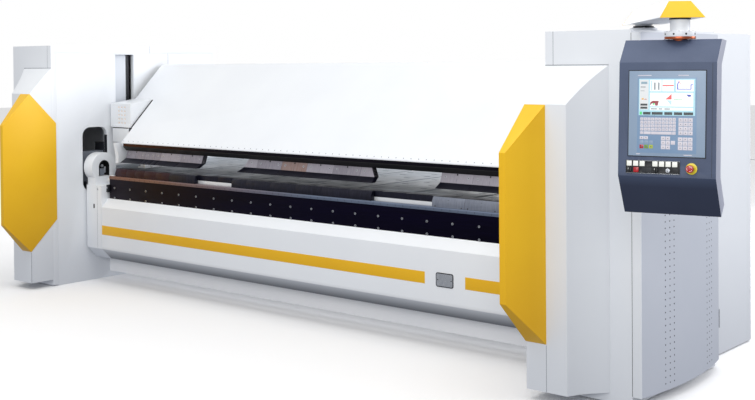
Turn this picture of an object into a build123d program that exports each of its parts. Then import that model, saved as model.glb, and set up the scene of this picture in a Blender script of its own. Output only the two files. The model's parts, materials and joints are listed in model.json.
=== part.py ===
from build123d import *
import math
import os

# Swing-beam folding machine for sheet metal, 4 m class.
# Millimetres. X runs along the machine, Y points into it and Z is up.
# The origin is on the floor, below the middle of the bending line.

# ---- driving dimensions ----
bend_z = 980.0
inner_x = 2424.0
left_outer_x = 2993.0
right_outer_x = 2958.0
right_rear_x = 2859.0
front_y = -432.0
rear_y = 1390.0
step_y = 607.0
top_z = 2026.0
rim_z = 1961.0
front_wrap = 50.0
wall = 4.0
gap = 0.5

column_front_y = -642.0
column_base_width = 400.0
column_front_width = 258.0
column_bottom_z = 56.0
column_top_z = 1836.0

nose_front_y = -893.0
nose_base_width = 129.0
nose_front_width = 35.0
nose_top_z = 1373.0
nose_bottom_z = 563.0
cheek_rear_y = -391.0
cheek_plate = 4.0
nose_bevel = column_front_y - nose_front_y

plate_thickness = 40.0
hub_slot_half = 127.5
hub_slot_bottom = 775.0
hub_slot_top = 1322.0
guide_slot_y = (224.0, 422.0)
guide_slot_z = (1060.0, 1950.0)
foot_plate = 30.0
foot_bolt_x = 2790.0
foot_y = (-260.0, 1060.0)
foot_hole_radius = 11.0
foot_bolt_radius = 10.5
foot_nut_radius = 19.0
post_width = 80.0

upper_tip_z = 1030.0
blade_seams = [
    [-2071, -1814, -1757, -1684, -1616, -1354, -1092],
    [-562, -458, -196, 66, 328, 590, 685],
    [1297, 1559, 1821, 2071],
]
fold_seams = [
    [-2091, -1947, -1827, -1708, -1557, -1386, -1066],
    [-639, -480, -218, 44, 306, 568, 774],
    [1301, 1563, 1825, 2091],
]
upper_girder_half = 2104.0
cover_half = 2369.0
slope_foot = (39.0, 1198.0)
slope_top = (702.0, 1861.0)
bracket_x = (2126.0, 2406.0)

hub_radius = 127.0
hub_x = (2294.0, 2410.0)
shaft_radius = 60.0
shaft_clearance = 0.1
arm_x = (2197.0, 2403.0)
fold_front_y = -104.0
fold_half = 2194.0
rail_half = 2173.0
rail_face_y = -35.0
rail_back_y = -3.0
rail_z = (712.0, 888.0)
screw_pitch = 210.0
screw_rows = (732.0, 815.0)
screw_head_radius = 7.5

lower_face_y = 5.0
lower_half = 2180.0
table_front_y = 85.0
table_top_z = 978.0
table_pitch = 500.0
table_gap = 26.0
table_rear_y = 1330.0
table_plate = 10.0
slot_rows = 7
slot_step = 170.0
slot_size = (62.0, 16.0)

panel_centre = (3476.0, -1068.0)
panel_yaw = 11.6
panel_tilt = 3.7
panel_middle_z = 1586.0
panel_half = 226.0
panel_z = (1320.0, 1850.0)
panel_depth = 93.5
tube_axis = (3473.0, -920.0)
pivot_axis = (2894.0, -167.0)
arm_bottom_z = 2057.0

os.makedirs("parts", exist_ok=True)
pieces = {}


# ---- shared shapes ----
def yz_face(outline, x):
    """A flat face from an outline of (y, z) points, standing at x."""
    with BuildSketch(Plane.YZ.offset(x)) as face:
        with BuildLine():
            Polyline(*outline, close=True)
        make_face()
    return face.sketch


def add_yz(outline, x_from, x_to, mode=Mode.ADD):
    """Adds or cuts an outline of (y, z) points between two places along the machine."""
    low, high = min(x_from, x_to), max(x_from, x_to)
    extrude(yz_face(outline, low), amount=high - low, mode=mode)


def add_plan(outline, z_from, z_to, mode=Mode.ADD):
    """Adds or cuts an outline of (x, y) points between two heights."""
    with BuildSketch(Plane.XY.offset(z_from)) as face:
        with BuildLine():
            Polyline(*outline, close=True)
        make_face()
    extrude(face.sketch, amount=z_to - z_from, mode=mode)


def add_block(x, y, z, mode=Mode.ADD):
    """Adds or cuts a block given by its low and high places along X, Y and Z."""
    centre = ((x[0] + x[1]) / 2, (y[0] + y[1]) / 2, (z[0] + z[1]) / 2)
    with Locations(centre):
        Box(abs(x[1] - x[0]), y[1] - y[0], z[1] - z[0], mode=mode)


def add_rod(centre, radius, length, axis, mode=Mode.ADD):
    """Adds or cuts a round bar centred at a point, along X, Y or Z."""
    turn = {"X": (0, 90, 0), "Y": (90, 0, 0), "Z": (0, 0, 0)}[axis]
    with Locations(Location(centre, turn)):
        Cylinder(radius, length, mode=mode)


def keep(label, builder):
    """Names a finished piece."""
    builder.part.label = label
    pieces[label] = builder.part


def sided(side, x):
    """The same distance from the middle on the left (-1) or the right (1)."""
    return side * x


def keep_pair(label, make):
    """Makes the left and the right piece of a mirrored pair and keeps them as one node."""
    with BuildPart() as pair:
        for side in (-1, 1):
            add(make(side))
    keep(label, pair)


side_names = {-1: "left", 1: "right"}


# ---- stands at the two ends ----
def side_frame(side):
    """The thick upright plate of a stand with its foot plate and rear column."""
    with BuildPart() as frame:
        face_x = sided(side, inner_x)
        back_x = sided(side, inner_x + plate_thickness)
        plate = [
            (front_y + front_wrap + gap, 0),
            (rear_y - front_wrap - gap, 0),
            (rear_y - front_wrap - gap, rim_z - gap),
            (front_y + front_wrap + gap, rim_z - gap),
        ]
        add_yz(plate, face_x, back_x)
        through = (sided(side, inner_x - 10), sided(side, inner_x + plate_thickness + 10))
        add_block(through, guide_slot_y, guide_slot_z, mode=Mode.SUBTRACT)
        slot_height = hub_slot_top - hub_slot_bottom
        with BuildSketch(Plane.YZ.offset(min(through))) as slot:
            with Locations((0, (hub_slot_top + hub_slot_bottom) / 2)):
                RectangleRounded(2 * hub_slot_half, slot_height, 74)
        extrude(slot.sketch, amount=plate_thickness + 20, mode=Mode.SUBTRACT)
        foot_x = (back_x, sided(side, foot_bolt_x + 30))
        add_block(foot_x, (-360, 1320), (0, foot_plate))
        post_x = (back_x, sided(side, 2760))
        for y in (620, 1200):
            add_block(post_x, (y, y + post_width), (foot_plate, 1500))
        guide_x = (back_x, sided(side, 2600))
        add_block(guide_x, (-160, -125.5), (760, 1240))
        add_block(guide_x, (125.5, 160), (760, 1180))
        for y in foot_y:
            with Locations((sided(side, foot_bolt_x), y, foot_plate / 2)):
                Cylinder(foot_hole_radius, 2 * foot_plate, mode=Mode.SUBTRACT)
    keep(side_names[side] + "_side_frame", frame)


def housing_outline(side, inset):
    """Plan of a stand's sheet cover, set in by the given amount on its closed sides."""
    face_x = sided(side, inner_x)
    front, rear = front_y + inset, rear_y - inset
    if side < 0:
        outer = -(left_outer_x - inset)
        return [(face_x, front), (outer, front), (outer, rear), (face_x, rear)]
    outer, narrow, step = right_outer_x - inset, right_rear_x - inset, step_y - inset
    return [
        (face_x, front),
        (outer, front),
        (outer, step),
        (narrow, step),
        (narrow, rear),
        (face_x, rear),
    ]


def housing(side):
    """Sheet cover of a stand: front, outer side, rear and top, with a rim round the plate."""
    with BuildPart() as cover:
        add_plan(housing_outline(side, 0), 8, top_z)
        add_plan(housing_outline(side, wall), 0, top_z - wall, mode=Mode.SUBTRACT)
        rim_x = (sided(side, inner_x), sided(side, inner_x + wall))
        add_block(rim_x, (front_y, front_y + front_wrap), (8, top_z))
        add_block(rim_x, (rear_y - front_wrap, rear_y), (8, top_z))
        add_block(rim_x, (front_y, rear_y), (rim_z, top_z))
    keep(side_names[side] + "_housing", cover)


def column_plan(side, inset):
    """Plan of a column cover: flat front and a hollow curved outer flank."""
    inner = sided(side, inner_x + inset)
    base = sided(side, inner_x + column_base_width - inset)
    nose = sided(side, inner_x + column_front_width - inset)
    middle = (sided(side, inner_x + 300 - inset), (front_y + column_front_y) / 2 - 20)
    rear = front_y - gap + inset
    front = column_front_y + inset
    with BuildSketch(Plane.XY.offset(column_bottom_z - inset)) as plan:
        with BuildLine():
            Line((inner, rear), (inner, front))
            Line((inner, front), (nose, front))
            ThreePointArc((nose, front), middle, (base, rear))
            Line((base, rear), (inner, rear))
        make_face()
    return plan.sketch


def column_cover(side):
    """White cover in front of a stand, with its top cut off at 45 degrees."""
    height = column_top_z - column_bottom_z
    slope_low_z = column_top_z - (front_y - column_front_y)
    above = [
        (front_y + 20, column_top_z + 20),
        (column_front_y - 20, slope_low_z - 20),
        (column_front_y - 20, column_top_z + 60),
        (front_y + 20, column_top_z + 60),
    ]
    drop = wall * math.sqrt(2)
    below_roof = [
        (front_y + 20, column_top_z + 20 - drop),
        (column_front_y - 20, slope_low_z - 20 - drop),
        (column_front_y - 20, 0),
        (front_y + 20, 0),
    ]
    with BuildPart() as cover:
        extrude(column_plan(side, 0), amount=height)
        add_yz(above, sided(side, 2300), sided(side, 3000), mode=Mode.SUBTRACT)
        inside = extrude(column_plan(side, wall), amount=height, mode=Mode.PRIVATE)
        slab_x = sorted((sided(side, 2300), sided(side, 3000)))
        room = extrude(
            yz_face(below_roof, slab_x[0]), amount=slab_x[1] - slab_x[0], mode=Mode.PRIVATE
        )
        add(inside & room, mode=Mode.SUBTRACT)
    return cover.part


def nose_cover(side):
    """Yellow guard on a column: a six-sided cheek with a slanted prism in front of it."""
    hexagon = [
        (nose_front_y, nose_top_z),
        (column_front_y, nose_top_z + nose_bevel),
        (cheek_rear_y, nose_top_z),
        (cheek_rear_y, nose_bottom_z),
        (column_front_y, nose_bottom_z - nose_bevel + 5),
        (nose_front_y, nose_bottom_z),
    ]
    prism = [
        (column_front_y - gap, nose_top_z + nose_bevel - gap),
        (nose_front_y, nose_top_z),
        (nose_front_y, nose_bottom_z),
        (column_front_y - gap, nose_bottom_z - nose_bevel + 5 + gap),
    ]
    with BuildPart() as cover:
        add_yz(prism, sided(side, inner_x), sided(side, inner_x + nose_base_width))
        slant = [
            (sided(side, inner_x + nose_front_width), nose_front_y - 1),
            (sided(side, inner_x + nose_base_width), column_front_y),
            (sided(side, inner_x + nose_base_width + 60), column_front_y),
            (sided(side, inner_x + nose_base_width + 60), nose_front_y - 1),
        ]
        add_plan(slant, 200, 1800, mode=Mode.SUBTRACT)
        hollow = [
            (column_front_y - gap, nose_top_z + nose_bevel - 8),
            (nose_front_y + 5, nose_top_z - 3),
            (nose_front_y + 5, nose_bottom_z + 3),
            (column_front_y - gap, nose_bottom_z - nose_bevel + 13),
        ]
        hollow_x = (sided(side, inner_x + 2), sided(side, inner_x + 26))
        add_yz(hollow, hollow_x[0], hollow_x[1], mode=Mode.SUBTRACT)
        add_yz(hexagon, sided(side, inner_x - cheek_plate), sided(side, inner_x - 0.2))
        joint_x = (sided(side, inner_x - 1), sided(side, inner_x + 1))
        add_yz(prism, joint_x[0], joint_x[1])
    return cover.part


for side in (-1, 1):
    side_frame(side)
    housing(side)
keep_pair("column_covers", column_cover)
keep_pair("nose_covers", nose_cover)

with BuildPart() as leveling_feet:
    for side in (-1, 1):
        for y in foot_y:
            centre_x = sided(side, foot_bolt_x)
            with Locations((centre_x, y, foot_plate + 28)):
                Cylinder(foot_bolt_radius, 56)
            with Locations((centre_x, y, foot_plate + 10)):
                Cylinder(foot_nut_radius, 18)
keep("leveling_bolts", leveling_feet)


# ---- fixed lower beam, tooling and table ----
lower_section = [
    (lower_face_y + 3, 893),
    (lower_face_y + 3, 780),
    (75, 720),
    (75, 345),
    (420, 345),
    (420, 893),
]
with BuildPart() as lower_beam:
    add_yz(lower_section, -lower_half, lower_half)
    end_section = [(150, 345), (150, 893), (420, 893), (420, 345)]
    add_yz(end_section, -inner_x + gap, inner_x - gap)
    hollow = [(175, 375), (390, 375), (390, 863), (175, 863)]
    add_yz(hollow, -inner_x + 30, inner_x - 30, mode=Mode.SUBTRACT)
    front_hollow = [(95, 375), (155, 375), (155, 863), (95, 863)]
    add_yz(front_hollow, -lower_half + 25, lower_half - 25, mode=Mode.SUBTRACT)
keep("lower_beam", lower_beam)

with BuildPart() as lower_tool_bar:
    add_block((-2095, 2095), (lower_face_y + 1, 80), (893, 939))
keep("lower_tool_bar", lower_tool_bar)

lower_blade_count = 20
with BuildPart() as lower_blades:
    length = 2 * 2090 / lower_blade_count
    for index in range(lower_blade_count):
        start = -2090 + index * length
        add_block((start + 0.5, start + length - 0.5), (lower_face_y, 84), (939, bend_z))
keep("lower_blades", lower_blades)

gauge_slots = [-950, 50, 1050]
gauge_home = 200.0
rib_x = [-1900, -1450, -950, -450, 50, 550, 1050, 1550, 1950]
beam_x = [-2100, -1200, -200, 800, 1800, 2200]
with BuildPart() as table_frame:
    for x in beam_x:
        add_block((x - 30, x + 30), (425, table_rear_y), (800, 890))
        for y in (425, 1225):
            add_block((x - 30, x + 30), (y, y + 45), (890, 945))
    for y in (430, 1190):
        add_block((-inner_x + gap, inner_x - gap), (y, y + 70), (780, 860))
    for x in rib_x:
        add_block((x - 60, x - 45), (90, 1262), (940, table_top_z - table_plate))
        add_block((x + 45, x + 60), (90, 1262), (940, table_top_z - table_plate))
    for y in (435, 1232):
        add_block((-2300, 2300), (y, y + 30), (940, table_top_z - table_plate))
    for x in gauge_slots:
        notch_x = (x - 20, x + 20)
        add_block(notch_x, (430, 470), (935, table_top_z), mode=Mode.SUBTRACT)
keep("table_frame", table_frame)


def table_plates():
    """Flat plates beside each other with oval slots, the gaps between them run into the table."""
    with BuildPart() as plates:
        edges = [-2170] + [50 + table_pitch * k for k in range(-4, 5)] + [2170]
        for left, right in zip(edges, edges[1:]):
            add_block(
                (left + table_gap / 2, right - table_gap / 2),
                (table_front_y, table_rear_y),
                (table_top_z - table_plate, table_top_z),
            )
        for x in ((-2400, -2180), (2180, 2400)):
            add_block(x, (150, table_rear_y), (table_top_z - table_plate, table_top_z))
        with BuildSketch(Plane.XY.offset(table_top_z - table_plate - 5)) as slots:
            for left in edges[1:-2]:
                for row in range(slot_rows):
                    y = table_front_y + 65 + slot_step * row
                    shift = 30 if row % 2 else -30
                    for x in (left + 130, left + 370):
                        with Locations((x + shift, y)):
                            SlotOverall(slot_size[0], slot_size[1])
        extrude(slots.sketch, amount=table_plate + 10, mode=Mode.SUBTRACT)
    keep("table_plates", plates)


table_plates()

with BuildPart() as side_stop:
    add_block((-2020, -1930), (150, 420), (table_top_z, table_top_z + 12))
    add_block((-1990, -1930), (150, 240), (table_top_z + 12, table_top_z + 34))
    add_rod((-1960, 195, table_top_z + 30), 9, 30, "Z", mode=Mode.SUBTRACT)
keep("side_stop", side_stop)

skirt_outline = [
    (150, 53),
    (150, 158),
    (192, 200),
    (192, 330),
    (188, 330),
    (188, 202),
    (146, 160),
    (146, 53),
]
with BuildPart() as base_skirt:
    add_yz(skirt_outline, -inner_x + gap, inner_x - gap)
    for x in (-2000, -1000, 0, 1000, 2000):
        add_block((x - 20, x + 20), (188, 215), (300, 345))
keep("base_skirt", base_skirt)

with BuildPart() as gauge_rails:
    for x in (-1650, 1350):
        add_block((x - 20, x + 20), (440, 1250), (893, 915))
    for x in (-1650, 1350):
        add_block((x - 45, x + 45), (440, 500), (860, 893))
        add_block((x - 45, x + 45), (1190, 1250), (860, 893))
keep("gauge_rails", gauge_rails)

with BuildPart() as back_gauge:
    add_block((-1700, 1400), (560 + gauge_home, 600 + gauge_home), (917, 938))
    for x in (-1650, 1350):
        add_block((x - 40, x - 22), (540 + gauge_home, 620 + gauge_home), (897, 917))
        add_block((x + 22, x + 40), (540 + gauge_home, 620 + gauge_home), (897, 917))
    for x in gauge_slots:
        web_y = (500 + gauge_home, 600 + gauge_home)
        add_block((x - 8, x + 8), web_y, (938, table_top_z + 4))
        finger_y = (380 + gauge_home, 600 + gauge_home)
        add_block((x - 8, x + 8), finger_y, (table_top_z + 4, table_top_z + 26))
keep("back_gauge", back_gauge)


# ---- upper beam ----
girder_section = [
    (60, 1165),
    (60, 1205),
    (700, 1845),
    (760, 1845),
    (760, 1230),
    (420, 1165),
]
girder_hollow = [(120, 1195), (120, 1222), (705, 1807), (735, 1807), (735, 1255), (415, 1195)]
with BuildPart() as upper_beam:
    add_yz(girder_section, -upper_girder_half, upper_girder_half)
    add_yz(girder_hollow, -upper_girder_half + 25, upper_girder_half - 25, mode=Mode.SUBTRACT)
keep("upper_beam", upper_beam)


def cover_sheet(half, z_from, z_to, thickness):
    """A band of the 45 degree sheet between two heights of its outer face."""
    lift = thickness * math.sqrt(2)
    shift = slope_foot[1] - slope_foot[0]
    band = [
        (z_from - shift, z_from),
        (z_to - shift, z_to),
        (z_to - shift + lift, z_to),
        (z_from - shift + lift, z_from),
    ]
    add_yz(band, -half, half)


with BuildPart() as upper_cover:
    cover_sheet(upper_girder_half, slope_foot[1], 1316, 4)
    cover_sheet(cover_half, 1316, slope_top[1], 4)
    top_sheet = [(slope_top[0], 1857), (slope_top[0], 1861), (800, 1861), (800, 1857)]
    add_yz(top_sheet, -cover_half, cover_half)
    lip = [(39, 1198), (39, 1190), (60, 1190), (60, 1198)]
    add_yz(lip, -upper_girder_half, upper_girder_half)
    rear_sheet = [(796, 1861), (800, 1861), (800, 1240), (796, 1240)]
    add_yz(rear_sheet, -cover_half, cover_half)
keep("upper_beam_cover", upper_cover)


def end_bracket(side):
    """Perforated wedge in front of the sloping cover at one end of the upper beam."""
    with BuildPart() as bracket:
        outer = [(157, 1317.5), (157, 1523), (392.5, 1553)]
        add_yz(outer, sided(side, bracket_x[0]), sided(side, bracket_x[1]))
        flange_x = (sided(side, 2150), sided(side, 2375))
        add_block(flange_x, (153, 157), (1188, 1335))
        inner = [(161, 1332), (161, 1519), (376, 1546)]
        inner_x_span = (sided(side, bracket_x[0] + 4), sided(side, bracket_x[1] - 4))
        add_yz(inner, inner_x_span[0], inner_x_span[1], mode=Mode.SUBTRACT)
        for column in range(3):
            for row in range(5):
                hole = (sided(side, 2290 - 42 * column), 157, 1355 + 34 * row)
                add_rod(hole, 6, 20, "Y", mode=Mode.SUBTRACT)
    return bracket.part


def end_cheek(side):
    """Nose-shaped plate at the end of the clamping tools."""
    with BuildPart() as cheek:
        outline = [(-3, 1195), (19, 1083), (18, 1020), (75, 1042), (126, 1117), (126, 1195)]
        add_yz(outline, sided(side, 2120), sided(side, 2160))
        add_block((sided(side, upper_girder_half), sided(side, 2120)), (60, 123), (1168, 1190))
    return cheek.part


def lift_plate(side):
    """Arm through the guide slot, with the tall guide plate behind the stand's plate."""
    with BuildPart() as plate:
        arm = (sided(side, upper_girder_half), sided(side, 2470))
        add_block(arm, (230, 345), (1180, 1290))
        guide = (sided(side, 2470), sided(side, 2490))
        add_block(guide, (230, 345), (1120, 1860))
        nut = (sided(side, 2490), sided(side, 2640))
        add_block(nut, (240, 340), (1180, 1280))
        add_rod((sided(side, 2590), 290, 1230), 25.0, 110, "Z", mode=Mode.SUBTRACT)
    return plate.part


keep_pair("end_brackets", end_bracket)
keep_pair("end_cheeks", end_cheek)
keep_pair("lift_plates", lift_plate)

with BuildPart() as lift_screws:
    for side in (-1, 1):
        add_rod((sided(side, 2590), 290, 1020), 25.0, 900, "Z")
keep("lift_screws", lift_screws)

with BuildPart() as lift_gearboxes:
    for side in (-1, 1):
        x = (sided(side, 2500), sided(side, 2680))
        add_block(x, (200, 380), (760, 900))
        add_block(x, (380, 620), (780, 880))
        add_rod((sided(side, 2590), 290, 830), 26.0, 200, "Z", mode=Mode.SUBTRACT)
        add_rod((sided(side, 2765), 290, 830), 62, 170, "X")
keep("lift_gearmotors", lift_gearboxes)

with BuildPart() as guide_rails:
    for side in (-1, 1):
        x = (sided(side, 2465), sided(side, 2500))
        add_block(x, (352, 398), (1330, 1940))
keep("upper_guide_rails", guide_rails)

clamp_outline = [
    (82, upper_tip_z + 97.5),
    (52, upper_tip_z + 130),
    (52, upper_tip_z + 134.5),
    (128, upper_tip_z + 134.5),
    (128, upper_tip_z + 97.5),
]
with BuildPart() as blade_clamp:
    add_yz(clamp_outline, -2095, 2095)
keep("blade_clamp_bar", blade_clamp)

blade_outline = [
    (1.5, upper_tip_z),
    (58, upper_tip_z + 34),
    (80, upper_tip_z + 97),
    (126, upper_tip_z + 97),
    (104, upper_tip_z + 34),
    (40, upper_tip_z),
]
ear_reach = (54.0, 62.0)
with BuildPart() as upper_blades:
    for run in blade_seams:
        for low, high in zip(run, run[1:]):
            add_yz(blade_outline, low + 0.5, high - 0.5)
    middle_run = blade_seams[1]
    for side, end, reach in ((-1, middle_run[0], ear_reach[0]), (1, middle_run[-1], ear_reach[1])):
        add_yz(blade_outline, end - side * 20, end + side * reach)
        above_ear = [
            (end, upper_tip_z + 97),
            (end + side * reach, upper_tip_z + 3),
            (end + side * (reach + 20), upper_tip_z + 3),
            (end + side * (reach + 20), upper_tip_z + 120),
            (end, upper_tip_z + 120),
        ]
        with BuildSketch(Plane.XZ) as wedge:
            with BuildLine():
                Polyline(*above_ear, close=True)
            make_face()
        extrude(wedge.sketch, amount=-200, mode=Mode.SUBTRACT)
keep("upper_blades", upper_blades)


# ---- folding beam ----
def hub(side):
    """Round hub of the folding beam with an arched pocket, its neck and its shaft."""
    with BuildPart() as piece:
        middle = (sided(side, sum(hub_x) / 2), 0, bend_z)
        add_rod(middle, hub_radius, hub_x[1] - hub_x[0], "X")
        add_block((sided(side, hub_x[0]), sided(side, 2400)), (-95, 95), (832, 900))
        pocket = (sided(side, hub_x[0] - 5), sided(side, hub_x[0] + 70))
        with BuildSketch(Plane.YZ.offset(min(pocket))) as arch:
            with BuildLine():
                Line((-55, 905), (55, 905))
                Line((55, 905), (55, 985))
                ThreePointArc((55, 985), (0, 1040), (-55, 985))
                Line((-55, 985), (-55, 905))
            make_face()
        extrude(arch.sketch, amount=75, mode=Mode.SUBTRACT)
        shaft = (sided(side, (hub_x[1] + 2700) / 2), 0, bend_z)
        add_rod(shaft, shaft_radius, 2700 - hub_x[1], "X")
    return piece.part


def folding_arm(side):
    """Box arm under a hub that carries one end of the folding beam."""
    outline = [
        (fold_front_y, 296),
        (fold_front_y, 832),
        (95, 832),
        (95, 700),
        (57, 640),
        (57, 215),
        (-12, 204),
    ]
    with BuildPart() as arm:
        add_yz(outline, sided(side, arm_x[0]), sided(side, arm_x[1]))
        add_rod((sided(side, 2250), fold_front_y, 800), 9, 30, "Y", mode=Mode.SUBTRACT)
    return arm.part


def hub_slide(side):
    """Bearing block of a hub, which slides up and down behind the slot."""
    with BuildPart() as block:
        x = (sided(side, 2480), sided(side, 2600))
        add_block(x, (-125, 125), (850, 1110))
        bore = (sided(side, 2540), 0, bend_z)
        add_rod(bore, shaft_radius + shaft_clearance, 140, "X", mode=Mode.SUBTRACT)
    return block.part


keep_pair("folding_hubs", hub)
keep_pair("folding_arms", folding_arm)
keep_pair("hub_bearings", hub_slide)

with BuildPart() as fold_gearmotors:
    for side in (-1, 1):
        with Locations(Location((sided(side, 2650), 0, bend_z), (0, 90, 0))):
            Cylinder(120, 99)
            Cylinder(shaft_radius + shaft_clearance, 120, mode=Mode.SUBTRACT)
        add_rod((sided(side, 2650), 0, 780), 48, 160, "Z")
        add_block((sided(side, 2601), sided(side, 2699)), (-60, 60), (840, 890))
        bore = (sided(side, 2650), 0, bend_z)
        add_rod(bore, shaft_radius + shaft_clearance, 130, "X", mode=Mode.SUBTRACT)
keep("folding_gearmotors", fold_gearmotors)

fold_section = [(-98, 648), (-42, 705), (50, 705), (50, 222), (-8, 222), (-98, 306)]
fold_hollow = [(-78, 640), (-36, 685), (30, 685), (30, 242), (-2, 242), (-78, 314)]
with BuildPart() as folding_beam:
    add_yz(fold_section, -arm_x[0] + gap, arm_x[0] - gap)
    add_yz(fold_hollow, -arm_x[0] + 25, arm_x[0] - 25, mode=Mode.SUBTRACT)
keep("folding_beam", folding_beam)

front_profile = [
    (-36, 722),
    (fold_front_y, 652),
    (fold_front_y, 296),
    (-12, 204),
    (40, 204),
    (40, 208),
    (-10.4, 208),
    (-100, 298),
    (-100, 650.5),
    (-36, 716.4),
]
with BuildPart() as front_cover:
    add_yz(front_profile, -fold_half, fold_half)
keep("folding_front_cover", front_cover)

with BuildPart() as folding_rail:
    add_block((-rail_half, rail_half), (rail_face_y, rail_back_y), rail_z)
keep("folding_rail", folding_rail)

with BuildPart() as rail_screws:
    for z in screw_rows:
        for index in range(-10, 11):
            centre = (index * screw_pitch, rail_face_y - 3, z)
            add_rod(centre, screw_head_radius, 6, "Y")
keep("rail_screws", rail_screws)

with BuildPart() as ruled_strip:
    strip = [(-38, 888), (-38, 906), (-33, 914), (rail_back_y, 914), (rail_back_y, 888)]
    add_yz(strip, -rail_half, rail_half)
keep("ruled_strip", ruled_strip)

tool_outline = [
    (-3, 915),
    (-35, 915),
    (-35, 950),
    (-20, bend_z - 0.5),
    (-3, bend_z - 0.5),
]
with BuildPart() as folding_tools:
    for run in fold_seams:
        for low, high in zip(run, run[1:]):
            add_yz(tool_outline, low + 0.5, high - 0.5)
            for x in (low + 25, high - 25):
                add_rod((x, rail_face_y, 920), 4.5, 16, "Y", mode=Mode.SUBTRACT)
keep("folding_tools", folding_tools)


# ---- cabinet on the right stand ----
door_arc = [(3010.0, -422.0), (3052.0, 20.0), (2984.0, 603.0)]
with BuildPart() as door_post:
    add_block((right_outer_x + gap, 3011), (front_y, -424), (56, 2010))
    add_block((right_outer_x + gap, 2990), (-424, -380), (56, 2010))
keep("cabinet_front_post", door_post)

with BuildPart() as cabinet_door:
    with BuildSketch(Plane.XY.offset(56)) as plan:
        with BuildLine():
            ThreePointArc(door_arc[0], door_arc[1], door_arc[2])
            Line(door_arc[2], (2980, 599))
            ThreePointArc((2980, 599), (3048, 20), (3006, -422))
            Line((3006, -422), door_arc[0])
        make_face()
    extrude(plan.sketch, amount=1954)
    add_block((2964, 2984), (596, 603), (56, 2010))
keep("cabinet_door", cabinet_door)

with BuildPart() as door_hinges:
    for z in (300, 1030, 1760):
        add_rod((2975, 619, z), 8, 110, "Z")
        add_block((right_rear_x + 100, 2970), (607, 613), (z - 50, z + 50))
keep("door_hinges", door_hinges)

with BuildPart() as switchgear:
    add_block((right_outer_x + gap, 2963), (-300, 500), (300, 1800))
    for row, z in enumerate((420, 700, 980, 1260, 1540)):
        for column in range(5):
            y = -260 + 145 * column
            depth = 24 + 9 * ((row + column) % 3)
            add_block((2963, 2963 + depth), (y, y + 110), (z, z + 180))
keep("switchgear", switchgear)


# ---- swivel arm and control panel ----
reach = (tube_axis[0] - pivot_axis[0], tube_axis[1] - pivot_axis[1])
arm_length = math.hypot(reach[0], reach[1])
arm_angle = math.degrees(math.atan2(reach[1], reach[0]))
arm_plane = Plane.XY.offset(0).rotated((0, 0, arm_angle))

with BuildPart() as arm_base:
    with Locations((pivot_axis[0], pivot_axis[1], top_z + 6)):
        Cylinder(75, 12)
    with Locations((pivot_axis[0], pivot_axis[1], top_z + 10)):
        Cylinder(28, 20)
keep("arm_base", arm_base)

section_half = (105.0, 51.0)
arm_height = 80.0
arm_lean = 62.0
arm_ends = (-78.0, arm_length + 62)
cap_wall = 14.0
collar_z = 1969.0


def arm_frame(distance, height):
    """Plane across the arm at a distance from its pivot, facing along the arm."""
    turn = math.radians(arm_angle)
    along = (math.cos(turn), math.sin(turn), 0)
    origin = (
        pivot_axis[0] + distance * along[0],
        pivot_axis[1] + distance * along[1],
        height,
    )
    return Plane(origin=origin, x_dir=(-along[1], along[0], 0), z_dir=along)


def arm_piece(far, near):
    """A length of the arm's trapezoid section between two leaning lines, (low, high) each."""
    with BuildSketch(arm_frame(arm_ends[0] - 1, arm_bottom_z)) as section:
        with BuildLine():
            Polyline(
                (-section_half[0], 0),
                (section_half[0], 0),
                (section_half[1], arm_height),
                (-section_half[1], arm_height),
                close=True,
            )
        make_face()
    extrude(section.sketch, amount=arm_ends[1] - arm_ends[0] + 2)
    turn = math.radians(arm_angle)
    along = (math.cos(turn), math.sin(turn), 0)
    origin = (pivot_axis[0], pivot_axis[1], arm_bottom_z)
    side_plane = Plane(origin=origin, x_dir=along, z_dir=(along[1], -along[0], 0))
    with BuildSketch(side_plane) as side_view:
        with BuildLine():
            Polyline(
                (far[0], 0),
                (near[0], 0),
                (near[1], arm_height),
                (far[1], arm_height),
                close=True,
            )
        make_face()
    extrude(side_view.sketch, amount=section_half[0] + 5, both=True, mode=Mode.INTERSECT)


far_outer = (arm_ends[0], arm_ends[0] + arm_lean)
far_inner = (far_outer[0] + cap_wall, far_outer[1] + cap_wall)
near_outer = (arm_ends[1], arm_ends[1] - arm_lean)
near_inner = (near_outer[0] - cap_wall, near_outer[1] - cap_wall)

with BuildPart() as swivel_arm:
    arm_piece(far_inner, near_inner)
    with Locations((pivot_axis[0], pivot_axis[1], (arm_bottom_z + top_z + 12.5) / 2)):
        Cylinder(45, arm_bottom_z - top_z - 12.5)
    with Locations((pivot_axis[0], pivot_axis[1], top_z + 16)):
        Cylinder(28.5, 30, mode=Mode.SUBTRACT)
    with Locations((tube_axis[0], tube_axis[1], (collar_z + arm_bottom_z) / 2)):
        Cylinder(46, arm_bottom_z - collar_z)
    with Locations((tube_axis[0], tube_axis[1], collar_z + 12)):
        Cylinder(73, 24)
keep("swivel_arm", swivel_arm)

with BuildPart() as near_cap:
    arm_piece(near_inner, near_outer)
with BuildPart() as far_cap:
    arm_piece(far_outer, far_inner)
with BuildPart() as arm_caps:
    add(near_cap.part)
    add(far_cap.part)
keep("arm_end_caps", arm_caps)

neck_radius = 34.0
with BuildPart() as swivel_ring:
    with Locations((tube_axis[0], tube_axis[1], collar_z - 6)):
        Cylinder(72, 11.5)
    with Locations((tube_axis[0], tube_axis[1], collar_z - 20)):
        Cylinder(neck_radius, 24)
keep("swivel_ring", swivel_ring)

yaw = math.radians(panel_yaw)
tilt = math.radians(panel_tilt)
panel_right = (math.cos(yaw), math.sin(yaw), 0)
level_back = (-math.sin(yaw), math.cos(yaw), 0)
panel_up = (level_back[0] * math.sin(tilt), level_back[1] * math.sin(tilt), math.cos(tilt))
panel_back = (level_back[0] * math.cos(tilt), level_back[1] * math.cos(tilt), -math.sin(tilt))
panel_out = (-panel_back[0], -panel_back[1], -panel_back[2])


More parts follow.
